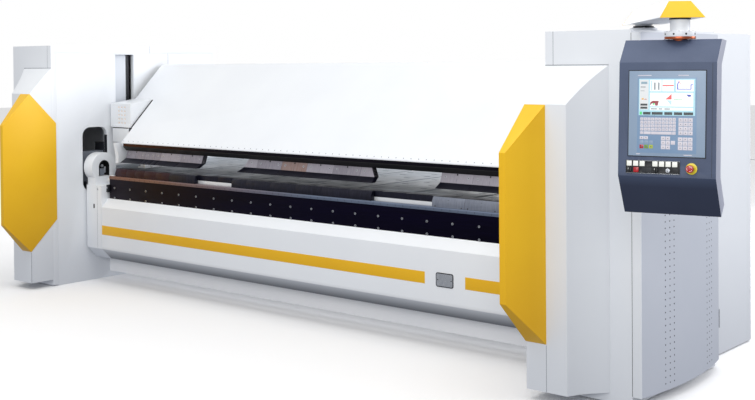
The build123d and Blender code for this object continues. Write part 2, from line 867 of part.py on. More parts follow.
def panel_point(across, back, z):
    """A point of the leaning panel: across from its middle, behind its face, up along its face."""
    up = z - panel_middle_z
    x = panel_centre[0] + across * panel_right[0] + back * panel_back[0] + up * panel_up[0]
    y = panel_centre[1] + across * panel_right[1] + back * panel_back[1] + up * panel_up[1]
    return (x, y, panel_middle_z + back * panel_back[2] + up * panel_up[2])


def panel_face(proud, z=0):
    """Plane on the panel's front face, looking out, with its origin on the floor line."""
    return Plane(origin=panel_point(0, -proud, z), x_dir=panel_right, z_dir=panel_out)


def panel_side(across):
    """Plane across the panel, facing its right end, with back as x and up as y."""
    return Plane(origin=panel_point(across, 0, 0), x_dir=panel_back, z_dir=panel_right)


def panel_slab(corners, thickness, proud=0.0, mode=Mode.ADD):
    """A plate on the panel's face between two corners (across, z), standing out of it."""
    (left, low), (right, high) = corners
    with BuildSketch(panel_face(proud)) as face:
        with Locations(((left + right) / 2, (low + high) / 2)):
            Rectangle(right - left, high - low)
    extrude(face.sketch, amount=thickness, mode=mode)


def panel_disc(across, z, radius, thickness, proud=0.0, mode=Mode.ADD):
    """A round boss on the panel's face."""
    with BuildSketch(panel_face(proud)) as face:
        with Locations((across, z)):
            Circle(radius)
    extrude(face.sketch, amount=thickness, mode=mode)


panel_profile = [
    (0, panel_z[0]),
    (0, panel_z[1]),
    (94, panel_z[1] + 112),
    (192, panel_z[1] + 112),
    (panel_depth, panel_z[1] - 5),
    (panel_depth, panel_z[0] + 5),
    (179, panel_z[0] - 122),
    (118, panel_z[0] - 177),
]

lamp_bar = ((-188.0, 1333.0), (64.0, 1394.0))
bezel_corners = ((-177.0, 1415.0), (177.0, 1810.0))
screen_corners = ((-130.0, 1603.0), (131.0, 1773.0))
button_pitch = 30.4
button_x = [-171.0 + button_pitch * k for k in (0, 1, 2, 4, 5, 6, 7)]
button_z = 1379.0
lower_z = 1350.0
lower_x = {"left_knob": -171.0, "red_button": -138.0, "right_knob": -48.0, "key_switch": 10.0}
stop_place = (117.0, 1362.0)

with BuildPart() as panel_housing:
    with BuildSketch(panel_side(-panel_half)) as side_face:
        with BuildLine():
            Polyline(*panel_profile, close=True)
        make_face()
    extrude(side_face.sketch, amount=2 * panel_half)
    with BuildSketch(panel_side(-panel_half + 5)) as side_hollow:
        with BuildLine():
            Polyline(*panel_profile, close=True)
        make_face()
        offset(amount=-5, kind=Kind.INTERSECTION)
    extrude(side_hollow.sketch, amount=2 * panel_half - 10, mode=Mode.SUBTRACT)
    with Locations((tube_axis[0], tube_axis[1], collar_z - 20)):
        Cylinder(neck_radius + 0.3, 40, mode=Mode.SUBTRACT)
    for across in button_x:
        panel_disc(across, button_z, 7.5, 40, proud=-30, mode=Mode.SUBTRACT)
    for across in lower_x.values():
        panel_disc(across, lower_z, 7.5, 40, proud=-30, mode=Mode.SUBTRACT)
    panel_disc(stop_place[0], stop_place[1], 9.5, 40, proud=-30, mode=Mode.SUBTRACT)
keep("panel_housing", panel_housing)

with BuildPart() as panel_bezel:
    panel_slab(bezel_corners, 3)
keep("panel_bezel", panel_bezel)

with BuildPart() as screen:
    panel_slab(screen_corners, 2, proud=3)
keep("screen", screen)

key_blocks = [
    ((-124, 1513), (40, 1592), 10, 4),
    ((52, 1513), (116, 1592), 4, 4),
    ((-28, 1430), (36, 1492), 3, 3),
    ((50, 1428), (112, 1488), 3, 3),
    ((-124, 1436), (-52, 1462), 3, 1),
]
with BuildPart() as key_pads:
    for low, high, columns, rows in key_blocks:
        step_x = (high[0] - low[0]) / columns
        step_z = (high[1] - low[1]) / rows
        for column in range(columns):
            for row in range(rows):
                left = low[0] + column * step_x
                base = low[1] + row * step_z
                corners = ((left + 1.5, base + 1.5), (left + step_x - 1.5, base + step_z - 1.5))
                panel_slab(corners, 1.6, proud=3)
keep("key_pads", key_pads)

with BuildPart() as button_plate:
    panel_slab(lamp_bar, 3)
    for across in button_x:
        panel_disc(across, button_z, 9, 10, proud=-2, mode=Mode.SUBTRACT)
    for across in lower_x.values():
        panel_disc(across, lower_z, 9, 10, proud=-2, mode=Mode.SUBTRACT)
keep("button_plate", button_plate)


def push_button(label, across, z):
    """A push button: round cap in front of the plate on a stem into the housing."""
    with BuildPart() as button:
        panel_disc(across, z, 11, 7, proud=8)
        panel_disc(across, z, 7, 28, proud=-20)
    keep(label, button)


with BuildPart() as indicator_lamps:
    for across in button_x[:3]:
        panel_disc(across, button_z, 11, 4, proud=3.3)
        panel_disc(across, button_z, 7, 23, proud=-19)
keep("indicator_lamps", indicator_lamps)

for number, across in enumerate(button_x[3:], start=1):
    push_button("white_button_" + str(number), across, button_z)
push_button("red_button", lower_x["red_button"], lower_z)


def knob(label, across, z, radius, grip):
    """A turning knob: a disc with a raised grip bar on a stem."""
    with BuildPart() as piece:
        panel_disc(across, z, radius, 8, proud=3.3)
        bar = ((across - grip / 2, z - radius + 1), (across + grip / 2, z + radius - 1))
        panel_slab(bar, 10, proud=11.3)
        panel_disc(across, z, 6.5, 24, proud=-20)
    keep(label, piece)


knob("left_knob", lower_x["left_knob"], lower_z, 12, 6)
knob("right_knob", lower_x["right_knob"], lower_z, 12, 6)
knob("key_switch", lower_x["key_switch"], lower_z, 10, 3)

with BuildPart() as stop_collar:
    panel_disc(stop_place[0], stop_place[1], 26, 5)
    panel_disc(stop_place[0], stop_place[1], 10, 8, proud=-1, mode=Mode.SUBTRACT)
keep("stop_collar", stop_collar)

with BuildPart() as stop_button:
    panel_disc(stop_place[0], stop_place[1], 17.5, 18, proud=26)
    panel_disc(stop_place[0], stop_place[1], 9, 46, proud=-20)
keep("stop_button", stop_button)

for label, piece in pieces.items():
    export_step(piece, "parts/" + label + ".step")
print(len(pieces), "pieces")
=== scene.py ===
import json
import math
import random

import bmesh
import bpy
from mathutils import Matrix, Vector
from mathutils.bvhtree import BVHTree

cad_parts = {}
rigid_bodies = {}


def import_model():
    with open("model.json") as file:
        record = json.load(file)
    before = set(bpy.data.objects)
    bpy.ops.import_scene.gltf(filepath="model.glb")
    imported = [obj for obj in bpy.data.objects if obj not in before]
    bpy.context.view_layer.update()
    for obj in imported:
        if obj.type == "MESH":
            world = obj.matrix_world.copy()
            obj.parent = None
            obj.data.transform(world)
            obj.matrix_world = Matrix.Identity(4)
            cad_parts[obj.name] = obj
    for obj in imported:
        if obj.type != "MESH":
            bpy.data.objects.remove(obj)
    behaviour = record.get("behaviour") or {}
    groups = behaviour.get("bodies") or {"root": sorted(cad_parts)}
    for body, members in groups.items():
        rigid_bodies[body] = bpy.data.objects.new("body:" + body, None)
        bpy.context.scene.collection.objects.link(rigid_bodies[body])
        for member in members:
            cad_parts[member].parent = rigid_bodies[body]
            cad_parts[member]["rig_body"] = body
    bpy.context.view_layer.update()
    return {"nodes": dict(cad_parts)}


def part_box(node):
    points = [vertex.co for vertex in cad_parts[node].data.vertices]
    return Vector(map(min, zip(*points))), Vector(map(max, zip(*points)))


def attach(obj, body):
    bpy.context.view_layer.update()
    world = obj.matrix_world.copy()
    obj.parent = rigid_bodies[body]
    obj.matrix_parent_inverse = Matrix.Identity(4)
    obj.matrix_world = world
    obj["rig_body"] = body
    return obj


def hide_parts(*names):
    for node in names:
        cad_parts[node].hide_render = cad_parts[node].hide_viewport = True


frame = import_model()
print("frame loaded:", len(frame["nodes"]), "nodes")


# ---------------------------------------------------------------- small tools
def linearColour(hexText):
    values = [int(hexText[i : i + 2], 16) / 255 for i in (1, 3, 5)]
    return (*[v / 12.92 if v <= 0.04045 else ((v + 0.055) / 1.055) ** 2.4 for v in values], 1.0)


def addNode(tree, kind, settings=None, links=None):
    node = tree.nodes.new(kind)
    for key, value in (settings or {}).items():
        if isinstance(key, str) and hasattr(node, key):
            setattr(node, key, value)
        else:
            node.inputs[key].default_value = value
    for key, socket in (links or {}).items():
        tree.links.new(socket, node.inputs[key])
    return node


def bodyOf(nodeName):
    return frame["nodes"][nodeName]["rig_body"]


def shapeName(nodeName):
    first, *rest = nodeName.split("_")
    return first + "".join(word.capitalize() for word in rest)


def mirrored(side, near, far):  # two distances from the middle, as a span on one side of it
    return sorted((side * near, side * far))


def merged(nodeName):  # a clean copy of a CAD mesh: doubles merged, flat areas made whole
    source = frame["nodes"][nodeName].data
    bm = bmesh.new()
    points = [bm.verts.new(v.co) for v in source.vertices]
    for polygon in source.polygons:
        bm.faces.new([points[i] for i in polygon.vertices])
    bmesh.ops.remove_doubles(bm, verts=bm.verts, dist=2e-6)
    bmesh.ops.dissolve_degenerate(bm, edges=bm.edges, dist=1e-6)
    bmesh.ops.dissolve_limit(
        bm,
        angle_limit=math.radians(0.6),
        verts=bm.verts,
        edges=bm.edges,
        use_dissolve_boundaries=False,
    )
    return bm


bevelLook = {"segments": 2, "profile": 0.7, "affect": "EDGES", "clamp_overlap": True}


def bevelEdges(bm, width, fromAngle=28):
    sharp = [
        edge
        for edge in bm.edges
        if len(edge.link_faces) == 2 and edge.calc_face_angle(0) > math.radians(fromAngle)
    ]
    if width and sharp:
        bmesh.ops.bevel(bm, geom=sharp, offset=width, **bevelLook)


def islands(nodeName):  # lowest and highest corner of each separate solid in a node, along X
    bm = merged(nodeName)
    found, seen = [], set()
    for start in bm.verts:
        if start in seen:
            continue
        seen.add(start)
        stack, group = [start], []
        while stack:
            vert = stack.pop()
            group.append(vert.co.copy())
            for edge in vert.link_edges:
                other = edge.other_vert(vert)
                if other not in seen:
                    seen.add(other)
                    stack.append(other)
        low = Vector([min(p[i] for p in group) for i in range(3)])
        high = Vector([max(p[i] for p in group) for i in range(3)])
        found.append((low, high))
    bm.free()
    return sorted(found, key=lambda pair: pair[0].x)


def place(name, mesh, body, stands=()):
    mesh.polygons.foreach_set("use_smooth", [True] * len(mesh.polygons))
    mesh.set_sharp_from_angle(angle=math.radians(32))
    obj = bpy.data.objects.new(name, mesh)
    bpy.context.scene.collection.objects.link(obj)
    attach(obj, body)
    if stands:
        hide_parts(*stands)
    return obj


def meshFrom(name, bm):
    mesh = bpy.data.meshes.new(name)
    bm.to_mesh(mesh)
    bm.free()
    return mesh


def finishPiece(name, bm, body, finishNames, stands=()):
    bmesh.ops.recalc_face_normals(bm, faces=bm.faces)
    mesh = meshFrom(name, bm)
    for finishName in finishNames:
        mesh.materials.append(finish[finishName])
    return place(name, mesh, body, stands)


def replaceNode(nodeName, bm, *finishNames):  # a finished copy takes the CAD node's place
    return finishPiece(shapeName(nodeName), bm, bodyOf(nodeName), finishNames, [nodeName])


def addDetail(name, bm, nodeName, *finishNames, slot=None):  # rides on the node's body
    return finishPiece(name, bm, bodyOf(nodeName), finishNames)


def addBlock(bm, low, high, bevel=0.0, turn=None, index=0):
    made = bmesh.ops.create_cube(bm, size=1.0)["verts"]
    size = [high[i] - low[i] for i in range(3)]
    middle = [(high[i] + low[i]) / 2 for i in range(3)]
    bmesh.ops.scale(bm, vec=size, verts=made)
    bmesh.ops.translate(bm, vec=middle, verts=made)
    return closeShape(bm, made, bevel, turn, index)


axisTurn = {
    "Z": Matrix.Identity(4),
    "X": Matrix.Rotation(math.pi / 2, 4, "Y"),
    "Y": Matrix.Rotation(math.pi / 2, 4, "X"),
}


def addDisc(bm, centre, radius, depth, axis="Z", sides=28, bevel=0.0, turn=None, index=0):
    made = bmesh.ops.create_cone(
        bm,
        cap_ends=True,
        segments=sides,
        radius1=radius,
        radius2=radius,
        depth=depth,
        matrix=Matrix.Translation(centre) @ axisTurn[axis],
    )["verts"]
    return closeShape(bm, made, bevel, turn, index)


def addOutline(bm, outline, axis, low, high, bevel=0.0, turn=None, index=0):
    # a flat outline pushed along an axis: (y, z) along X or (x, z) along Y
    def point(a, b, c):
        return {"X": (c, a, b), "Y": (a, c, b)}[axis]

    near = [bm.verts.new(point(a, b, low)) for a, b in outline]
    far = [bm.verts.new(point(a, b, high)) for a, b in outline]
    bm.faces.new(near)
    bm.faces.new(far[::-1])
    for i in range(len(outline)):
        j = (i + 1) % len(outline)
        bm.faces.new((near[j], near[i], far[i], far[j]))
    return closeShape(bm, near + far, bevel, turn, index)


def closeShape(bm, made, bevel, turn, index):
    faces = list({f for v in made for f in v.link_faces})
    if bevel:
        edges = {e for f in faces for e in f.edges if e.calc_face_angle(0) > math.radians(40)}
        result = bmesh.ops.bevel(bm, geom=list(edges), offset=bevel, **bevelLook)
        kept = {f for f in faces if f.is_valid}
        faces = list({f for v in result["verts"] for f in v.link_faces} | kept)
    for face in faces:
        face.material_index = index
    if turn is not None:
        corners = list({v for f in faces for v in f.verts})
        bmesh.ops.transform(bm, matrix=turn, verts=corners)
    return faces


# ---------------------------------------------------------------- finishes
def startFinish(name):
    material = bpy.data.materials.new(name)
    material.use_nodes = True
    tree = material.node_tree
    tree.nodes.clear()
    shader = addNode(tree, "ShaderNodeBsdfPrincipled")
    addNode(tree, "ShaderNodeOutputMaterial", links={"Surface": shader.outputs[0]})
    spot = addNode(tree, "ShaderNodeTexCoord").outputs["Object"]
    return material, tree, shader, spot


def noiseAt(tree, spot, perMetre, detail=3.0, seed=0.0):
    settings = {"Scale": perMetre, "Location": (seed, seed * 0.7, seed * 1.3)}
    moved = addNode(tree, "ShaderNodeMapping", settings, {"Vector": spot}).outputs[0]
    settings = {"Scale": 1.0, "Detail": detail}
    return addNode(tree, "ShaderNodeTexNoise", settings, {"Vector": moved}).outputs["Fac"]


def blendColour(tree, share, first, second):
    node = addNode(tree, "ShaderNodeMix", {"data_type": "RGBA"}, {0: share})
    for key, value in ((6, first), (7, second)):
        if isinstance(value, bpy.types.NodeSocket):
            tree.links.new(value, node.inputs[key])
        else:
            node.inputs[key].default_value = value
    return node.outputs[2]


def ranged(tree, value, fromLow, fromHigh, toLow, toHigh):
    limits = {1: fromLow, 2: fromHigh, 3: toLow, 4: toHigh}
    return addNode(tree, "ShaderNodeMapRange", limits, {0: value}).outputs[0]


def placeAlong(tree, spot, axis):
    return addNode(tree, "ShaderNodeSeparateXYZ", links={0: spot}).outputs[axis]


def toneOf(tree):  # the colour kept on the piece's own faces
    return addNode(tree, "ShaderNodeAttribute", {"attribute_name": "tone"}).outputs["Color"]


def addBump(tree, shader, height, strength, distance):
    settings = {"Strength": strength, "Distance": distance}
    bump = addNode(tree, "ShaderNodeBump", settings, {"Height": height})
    tree.links.new(bump.outputs[0], shader.inputs["Normal"])


def lookOf(colours, cloud, grain, roughness, bump, **more):
    # cloud and grain: how often the pattern repeats in a metre, one number or one for each axis
    spread = [(v, v, v) if isinstance(v, (int, float)) else v for v in (cloud, grain)]
    look = {"colours": colours, "cloud": spread[0], "grain": spread[1]}
    return {**look, "roughness": roughness, "bump": bump, **more}


def makeFinish(name, look):
    material, tree, shader, spot = startFinish(name)
    cloud = noiseAt(tree, spot, look["cloud"], 4.0)
    first, second = [linearColour(colour) for colour in look["colours"]]
    colour = blendColour(tree, ranged(tree, cloud, 0.3, 0.7, 0, 1), first, second)
    grain = noiseAt(tree, spot, look["grain"], 2.0, 3.1)
    if "fleck" in look:  # a little darker or lighter in the grain itself
        tint, share = look["fleck"]
        flecked = ranged(tree, grain, 0.45, 0.75, 0, share)
        colour = blendColour(tree, flecked, colour, linearColour(tint))
    for key, axis in (("toneX", "X"), ("toneZ", "Z")):
        # most finishes use this tone for painted shade, beam_edge for a painted reflection
        if key in look:  # another colour, strongest at one place in metres and gone at the next
            tint, full, gone, share = look[key]
            amount = ranged(tree, placeAlong(tree, spot, axis), full, gone, share, 0)
            colour = blendColour(tree, amount, colour, linearColour(tint))
    tree.links.new(colour, shader.inputs["Base Color"])
    roughness = ranged(tree, cloud, 0.25, 0.75, *look["roughness"])
    tree.links.new(roughness, shader.inputs["Roughness"])
    addBump(tree, shader, grain, *look["bump"])
    shader.inputs["Metallic"].default_value = look.get("metallic", 0.0)
    shader.inputs["Coat Weight"].default_value = look.get("coat", 0.0)
    shader.inputs["Coat Roughness"].default_value = 0.2
    if "glow" in look:
        tree.links.new(colour, shader.inputs["Emission Color"])
        shader.inputs["Emission Strength"].default_value = look["glow"]
    return material


# colours, cloud, grain, roughness from and to, bump strength and depth in metres
finishLooks = {
    # powder coated sheet steel: satin, faint orange peel, drawn 5 mm wide so that it shows; its
    # tone darker towards the floor is painted shade
    "white_sheet": lookOf(
        ("#EEF1F4", "#E9ECF0"), 1.6, 190, (0.34, 0.44), (0.12, 0.0004),
        toneZ=("#BFC3CB", 0.02, 0.75, 0.42), coat=0.15,
    ),
    # the same powder coat in signal yellow, with painted shade making it a little deeper near the
    # floor
    "yellow_sheet": lookOf(
        ("#F9C512", "#F3BC0C"), 2.0, 190, (0.42, 0.52), (0.12, 0.0004),
        toneZ=("#C08405", 0.25, 1.1, 0.35),
    ),
    # brushed-on machine paint on thick plate: satin, with soft streaks; its tone darker towards
    # the floor is painted shade
    "frame_paint": lookOf(
        ("#D3D7DD", "#CBD0D8"), (2.4, 2.4, 1.2), (120, 120, 60), (0.42, 0.55), (0.15, 0.0006),
        toneZ=("#9FA4AE", 0.0, 0.7, 0.35),
    ),
    # stoving enamel, nearly black: low sheen; the same finish is painted shade behind the stands'
    # white faces and in the door's holes
    "dark_enamel": lookOf(
        ("#23262C", "#1B1D22"), 3, 220, (0.4, 0.55), (0.15, 0.0004),
        fleck=("#34373E", 0.25),
    ),
    # blued and ground steel: long grinding marks along the machine
    "blued_rail": lookOf(
        ("#0A0520", "#050314"), (1.4, 6, 9), (6, 260, 420), (0.3, 0.46), (0.25, 0.0003),
        fleck=("#1A1336", 0.4), toneX=("#1C0E18", -2.1, -0.4, 0.6), metallic=0.9,
    ),
    # polished steel bar: bright, with fine drawn lines
    "bright_steel": lookOf(
        ("#F4F5F6", "#E6E8EB"), (2.2, 12, 12), (5, 300, 500), (0.22, 0.36), (0.12, 0.0002),
        metallic=0.35,
    ),
    # ground sheet of the table: matt light grey with marks across it
    "table_sheet": lookOf(
        ("#82888F", "#767D86"), (3.2, 2.2, 3), (220, 9, 50), (0.34, 0.48), (0.12, 0.0002),
        fleck=("#AEB5BE", 0.35), metallic=0.1,
    ),
    # ruled strip: etched steel, blue grey, brown towards its left end
    "strip_steel": lookOf(
        ("#6C788E", "#5D687C"), (3, 30, 30), (8, 300, 300), (0.28, 0.42), (0.15, 0.0002),
        toneX=("#8A5A38", -1.9, 0.2, 0.85), metallic=0.4,
    ),
    # edge of the beam under its cover: black primer, with a painted brown reflection towards the
    # left end
    "beam_edge": lookOf(
        ("#14111C", "#1F1A26"), (1.6, 12, 12), (30, 200, 200), (0.4, 0.6), (0.15, 0.0003),
        toneX=("#5A3219", -2.0, -1.0, 0.8), metallic=0.85,
    ),
    # skirt: white coat, with painted shade where the front cover overhangs it
    "skirt_sheet": lookOf(
        ("#FFFFFF", "#F9FAFC"), 1.6, 190, (0.4, 0.5), (0.12, 0.0004),
        toneZ=("#14171D", 0.315, 0.19, 0.96),
    ),
    # front cover: the machine's white coat, with painted shade along its lower bevel
    "cover_sheet": lookOf(
        ("#EEF1F4", "#E9ECF0"), 1.6, 190, (0.36, 0.46), (0.12, 0.0004),
        toneZ=("#262A32", 0.212, 0.318, 0.8),
    ),
    # door sheet: the same powder coat in a slightly deeper grey, darker towards the floor: painted
    # shade
    "door_sheet": lookOf(
        ("#D3D7DF", "#CBD0D9"), 1.6, 190, (0.36, 0.46), (0.12, 0.0004),
        toneZ=("#A4A9B5", 0.02, 1.2, 0.5),
    ),
    # textured powder coat: matt blue grey, with painted shade on the lower bevel
    "panel_paint": lookOf(
        ("#4C5974", "#44506A"), 5, 420, (0.48, 0.6), (0.3, 0.0005),
        fleck=("#56617A", 0.5), toneZ=("#20263C", 1.27, 1.345, 0.75),
    ),
    # printed polyester film: even, slightly silky
    "bezel_film": lookOf(
        ("#93A7BD", "#8BA0B8"), 6, 600, (0.32, 0.42), (0.05, 0.0002),
        fleck=("#A9BACB", 0.25),
    ),
    # key tops of the same film: pale and matt
    "key_film": lookOf(
        ("#E3DEE4", "#D9D4DC"), 30, 700, (0.4, 0.5), (0.05, 0.0002),
    ),
    # moulded ABS and polyamide: fine spark-eroded texture
    "black_plastic": lookOf(
        ("#15171B", "#101216"), 25, 800, (0.35, 0.5), (0.2, 0.0003),
        fleck=("#23262B", 0.3),
    ),
    # lit caps: glossy translucent white with a faint glow; on the knobs' pointers and the stop
    # button's studs this glow is painted light
    "white_button": lookOf(
        ("#F6F7F0", "#EEF0E6"), 60, 900, (0.22, 0.32), (0.05, 0.0002),
        coat=0.3, glow=0.12,
    ),
    # glossy red moulding
    "red_button": lookOf(
        ("#C2101C", "#AE0C18"), 60, 900, (0.2, 0.3), (0.05, 0.0002),
        coat=0.4,
    ),
    # glossy yellow moulding of the stop's collar
    "yellow_plastic": lookOf(
        ("#F2DF33", "#E6D028"), 50, 900, (0.26, 0.36), (0.06, 0.0002),
        coat=0.2,
    ),
    # turned copper coloured ring: metallic, with fine turning lines
    "copper_ring": lookOf(
        ("#C4704C", "#A9573A"), (20, 20, 90), (60, 60, 900), (0.24, 0.38), (0.15, 0.0002),
        metallic=0.85,
    ),
    # cast housings of the drives: grey machine enamel over a rough casting
    "motor_paint": lookOf(
        ("#7B818B", "#6D737D"), 9, 260, (0.4, 0.55), (0.35, 0.0008),
        fleck=("#8C929C", 0.35),
    ),
    # zinc plated screws and small parts
    "zinc": lookOf(
        ("#C9CCD0", "#B5B9BF"), 60, 500, (0.22, 0.38), (0.1, 0.0002),
        metallic=0.8,
    ),
    # the shadow line of a sheet joint
    "joint_line": lookOf(
        ("#6E737D", "#5C616B"), 4, 90, (0.6, 0.75), (0.1, 0.0003),
    ),
    # painted shade of hollows and gaps, and blackened steel: hardly any sheen
    "deep_black": lookOf(
        ("#08080B", "#040406"), 8, 200, (0.5, 0.7), (0.1, 0.0003),
        fleck=("#15161B", 0.3),
    ),
    # pale film behind the brackets' holes
    "pale_orange": lookOf(
        ("#F0C48C", "#E5B273"), 40, 400, (0.4, 0.5), (0.1, 0.0002),
    ),
    # the panel's side walls: the textured coat in light grey
    "panel_cheek": lookOf(
        ("#AEB1C0", "#A4A8B8"), 5, 420, (0.4, 0.52), (0.25, 0.0005),
    ),
    # matt studio floor
    "floor_paint": lookOf(
        ("#FFFFFF", "#FCFCFD"), 0.3, 20, (0.7, 0.85), (0.05, 0.0005),
    ),
}
for newName, base, colours in (
    ("key_green", "key_film", ("#7FA83C", "#73992F")),
    ("key_lime", "key_film", ("#B9C940", "#AEBE38")),
    ("film_inset", "bezel_film", ("#84A0BF", "#7B98B9")),
):
    finishLooks[newName] = {**finishLooks[base], "colours": colours}
finish = {name: makeFinish(name, look) for name, look in finishLooks.items()}

# hardened tool steel: silver face above a dark nose, and a tone of its own for each segment
segmentLook = {
    "silver": ("#98949E", "#85818C"),
    "warm": "#8A7068",
    "nose": "#0B0B1E",
    "noseTop": 1.066,
    "maroon": "#2C0A14",
    "maroonEnd": -1.37,
    "dark": "#08091A",
    "grey": "#848A97",
    "greyStart": 1.2,
}


def makeSegmentSteel(name, markColour, nose):
    material, tree, shader, spot = startFinish(name)
    tone = toneOf(tree)
    marks = noiseAt(tree, spot, (260, 40, 14), 3.0)
    cloud = noiseAt(tree, spot, (9, 14, 20), 4.0, 1.7)
    marked = ranged(tree, marks, 0.35, 0.7, 0, 0.35)
    lighter = blendColour(tree, marked, tone, linearColour(markColour))
    colour = blendColour(tree, ranged(tree, cloud, 0.35, 0.7, 0, 0.4), lighter, tone)
    if nose:
        limit = {"operation": "LESS_THAN", 1: segmentLook["noseTop"]}
        below = addNode(tree, "ShaderNodeMath", limit, {0: placeAlong(tree, spot, "Z")})
        colour = blendColour(tree, below.outputs[0], colour, linearColour(segmentLook["nose"]))
    tree.links.new(colour, shader.inputs["Base Color"])
    tree.links.new(ranged(tree, cloud, 0.3, 0.7, 0.3, 0.45), shader.inputs["Roughness"])
    addBump(tree, shader, marks, 0.2, 0.0003)
    shader.inputs["Metallic"].default_value = 0.5
    return material


def makeDisplay():  # the lit picture: colours come from the faces, with faint rows of the display
    material, tree, shader, spot = startFinish("display_light")
    settings = {"bands_direction": "Z", "Scale": 160.0, "Distortion": 0.0}
    rows = addNode(tree, "ShaderNodeTexWave", settings, {"Vector": spot}).outputs["Fac"]
    share = ranged(tree, rows, 0, 1, 0, 0.1)
    lit = blendColour(tree, share, toneOf(tree), linearColour("#CFE0E8"))
    tree.links.new(lit, shader.inputs["Base Color"])
    tree.links.new(lit, shader.inputs["Emission Color"])
    shader.inputs["Emission Strength"].default_value = 0.22
    shader.inputs["Roughness"].default_value = 0.25
    return material


def makeGlass():  # cover glass of the display: glossy, with a trace of dust
    material, tree, shader, spot = startFinish("screen_glass")
    dust = noiseAt(tree, spot, (90, 90, 90), 4.0)
    share = ranged(tree, dust, 0.4, 0.7, 0, 0.2)
    colour = blendColour(tree, share, linearColour("#8FB9C8"), linearColour("#B9D3DC"))
    tree.links.new(colour, shader.inputs["Base Color"])
    tree.links.new(ranged(tree, dust, 0.3, 0.7, 0.08, 0.2), shader.inputs["Roughness"])
    return material


finish["tool_steel"] = makeSegmentSteel("tool_steel", "#C2BEC4", True)
finish["dark_tools"] = makeSegmentSteel("dark_tools", "#3A3A50", False)
finish["display_light"] = makeDisplay()
finish["screen_glass"] = makeGlass()
print("finishes made:", len(finish))


# ---------------------------------------------------------------- CAD parts with rolled edges
# node: (finish, edge radius in metres)
partLook = {
    "left_housing": ("white_sheet", 0.0012),
    "right_housing": ("white_sheet", 0.0012),
    "column_covers": ("white_sheet", 0.0018),
    "nose_covers": ("yellow_sheet", 0.0012),
    "upper_beam_cover": ("white_sheet", 0.0014),
    "end_brackets": ("white_sheet", 0.0012),
    "end_cheeks": ("white_sheet", 0.0018),
    "folding_front_cover": ("cover_sheet", 0.0012),
    "folding_arms": ("white_sheet", 0.0022),
    "folding_hubs": ("white_sheet", 0.0025),
    "folding_rail": ("blued_rail", 0.0012),
    "ruled_strip": ("strip_steel", 0.0008),
    "lower_tool_bar": ("bright_steel", 0.0010),
    "table_plates": ("table_sheet", 0.0007),
    "side_stop": ("bright_steel", 0.0012),
    "base_skirt": ("skirt_sheet", 0.0012),
    # the clamp bar's black is painted shade under the beam
    "blade_clamp_bar": ("deep_black", 0.0015),
    "cabinet_door": ("door_sheet", 0.0010),
    "cabinet_front_post": ("white_sheet", 0.0015),
    "swivel_arm": ("white_sheet", 0.0020),
    "arm_end_caps": ("yellow_sheet", 0.0018),
    "arm_base": ("white_sheet", 0.0015),
    "swivel_ring": ("copper_ring", 0.0015),
    "panel_bezel": ("bezel_film", 0.0006),
    "screen": ("screen_glass", 0.0005),
    "button_plate": ("black_plastic", 0.0006),
    "stop_collar": ("yellow_plastic", 0.0012),
    "stop_button": ("red_button", 0.0035),
    "left_knob": ("black_plastic", 0.0010),
    "right_knob": ("black_plastic", 0.0010),
    "key_switch": ("zinc", 0.0008),
    "back_gauge": ("dark_enamel", 0.0010),
}
for nodeName, (finishName, edge) in partLook.items():
    bm = merged(nodeName)
    bevelEdges(bm, edge)
    replaceNode(nodeName, bm, finishName)

# stands' plates: white on the side to the middle, and painted shade in the dark enamel finish on
# everything behind it, as in the slots
standLook = {"faceEnd": 2.446, "footTop": 0.06, "edge": 0.0015}
for nodeName in ("left_side_frame", "right_side_frame"):
    bm = merged(nodeName)
    for face in bm.faces:
        middle = face.calc_center_median()
        behind = abs(middle.x) > standLook["faceEnd"] and middle.z > standLook["footTop"]
        face.material_index = 1 if behind else 0
    bevelEdges(bm, standLook["edge"])
    replaceNode(nodeName, bm, "white_sheet", "dark_enamel")
print("rolled-edge parts:", len(partLook) + 2)


# ---------------------------------------------------------------- tooling segments
def segmentTone(node, centre, normal, spans, seed):
    # end faces, turned along the machine, get painted shade
    if abs(normal.x) > 0.6:
        return linearColour(segmentLook["dark"])
    for number, (low, high) in enumerate(spans):
        if low.x - 0.001 <= centre.x <= high.x + 0.001:
            chance = random.Random(seed + number).random()
            if node == "upper_blades":
                if low.x < -0.06 < high.x:
                    return linearColour(segmentLook["warm"])
                return linearColour(segmentLook["silver"][0 if chance > 0.5 else 1])
            if node == "lower_blades":
                return linearColour(segmentLook["dark"])
            kind = "grey" if low.x > segmentLook["greyStart"] else "dark"
            if high.x < segmentLook["maroonEnd"]:
                kind = "maroon"
            base = Vector(linearColour(segmentLook[kind])[:3]) * (0.85 + 0.3 * chance)
            return (*base, 1.0)
    return linearColour(segmentLook["dark"])


for nodeName, finishName, seed in (
    ("upper_blades", "tool_steel", 11),
    ("folding_tools", "dark_tools", 23),
    ("lower_blades", "dark_tools", 5),
):
    spans = islands(nodeName)
    bm = merged(nodeName)
    bevelEdges(bm, 0.0008)
    mesh = replaceNode(nodeName, bm, finishName).data
    layer = mesh.color_attributes.new("tone", "FLOAT_COLOR", "CORNER")
    for polygon in mesh.polygons:
        tone = segmentTone(nodeName, polygon.center, polygon.normal, spans, seed)
        for loop in polygon.loop_indices:
            layer.data[loop].color = tone
print("tooling segments toned")


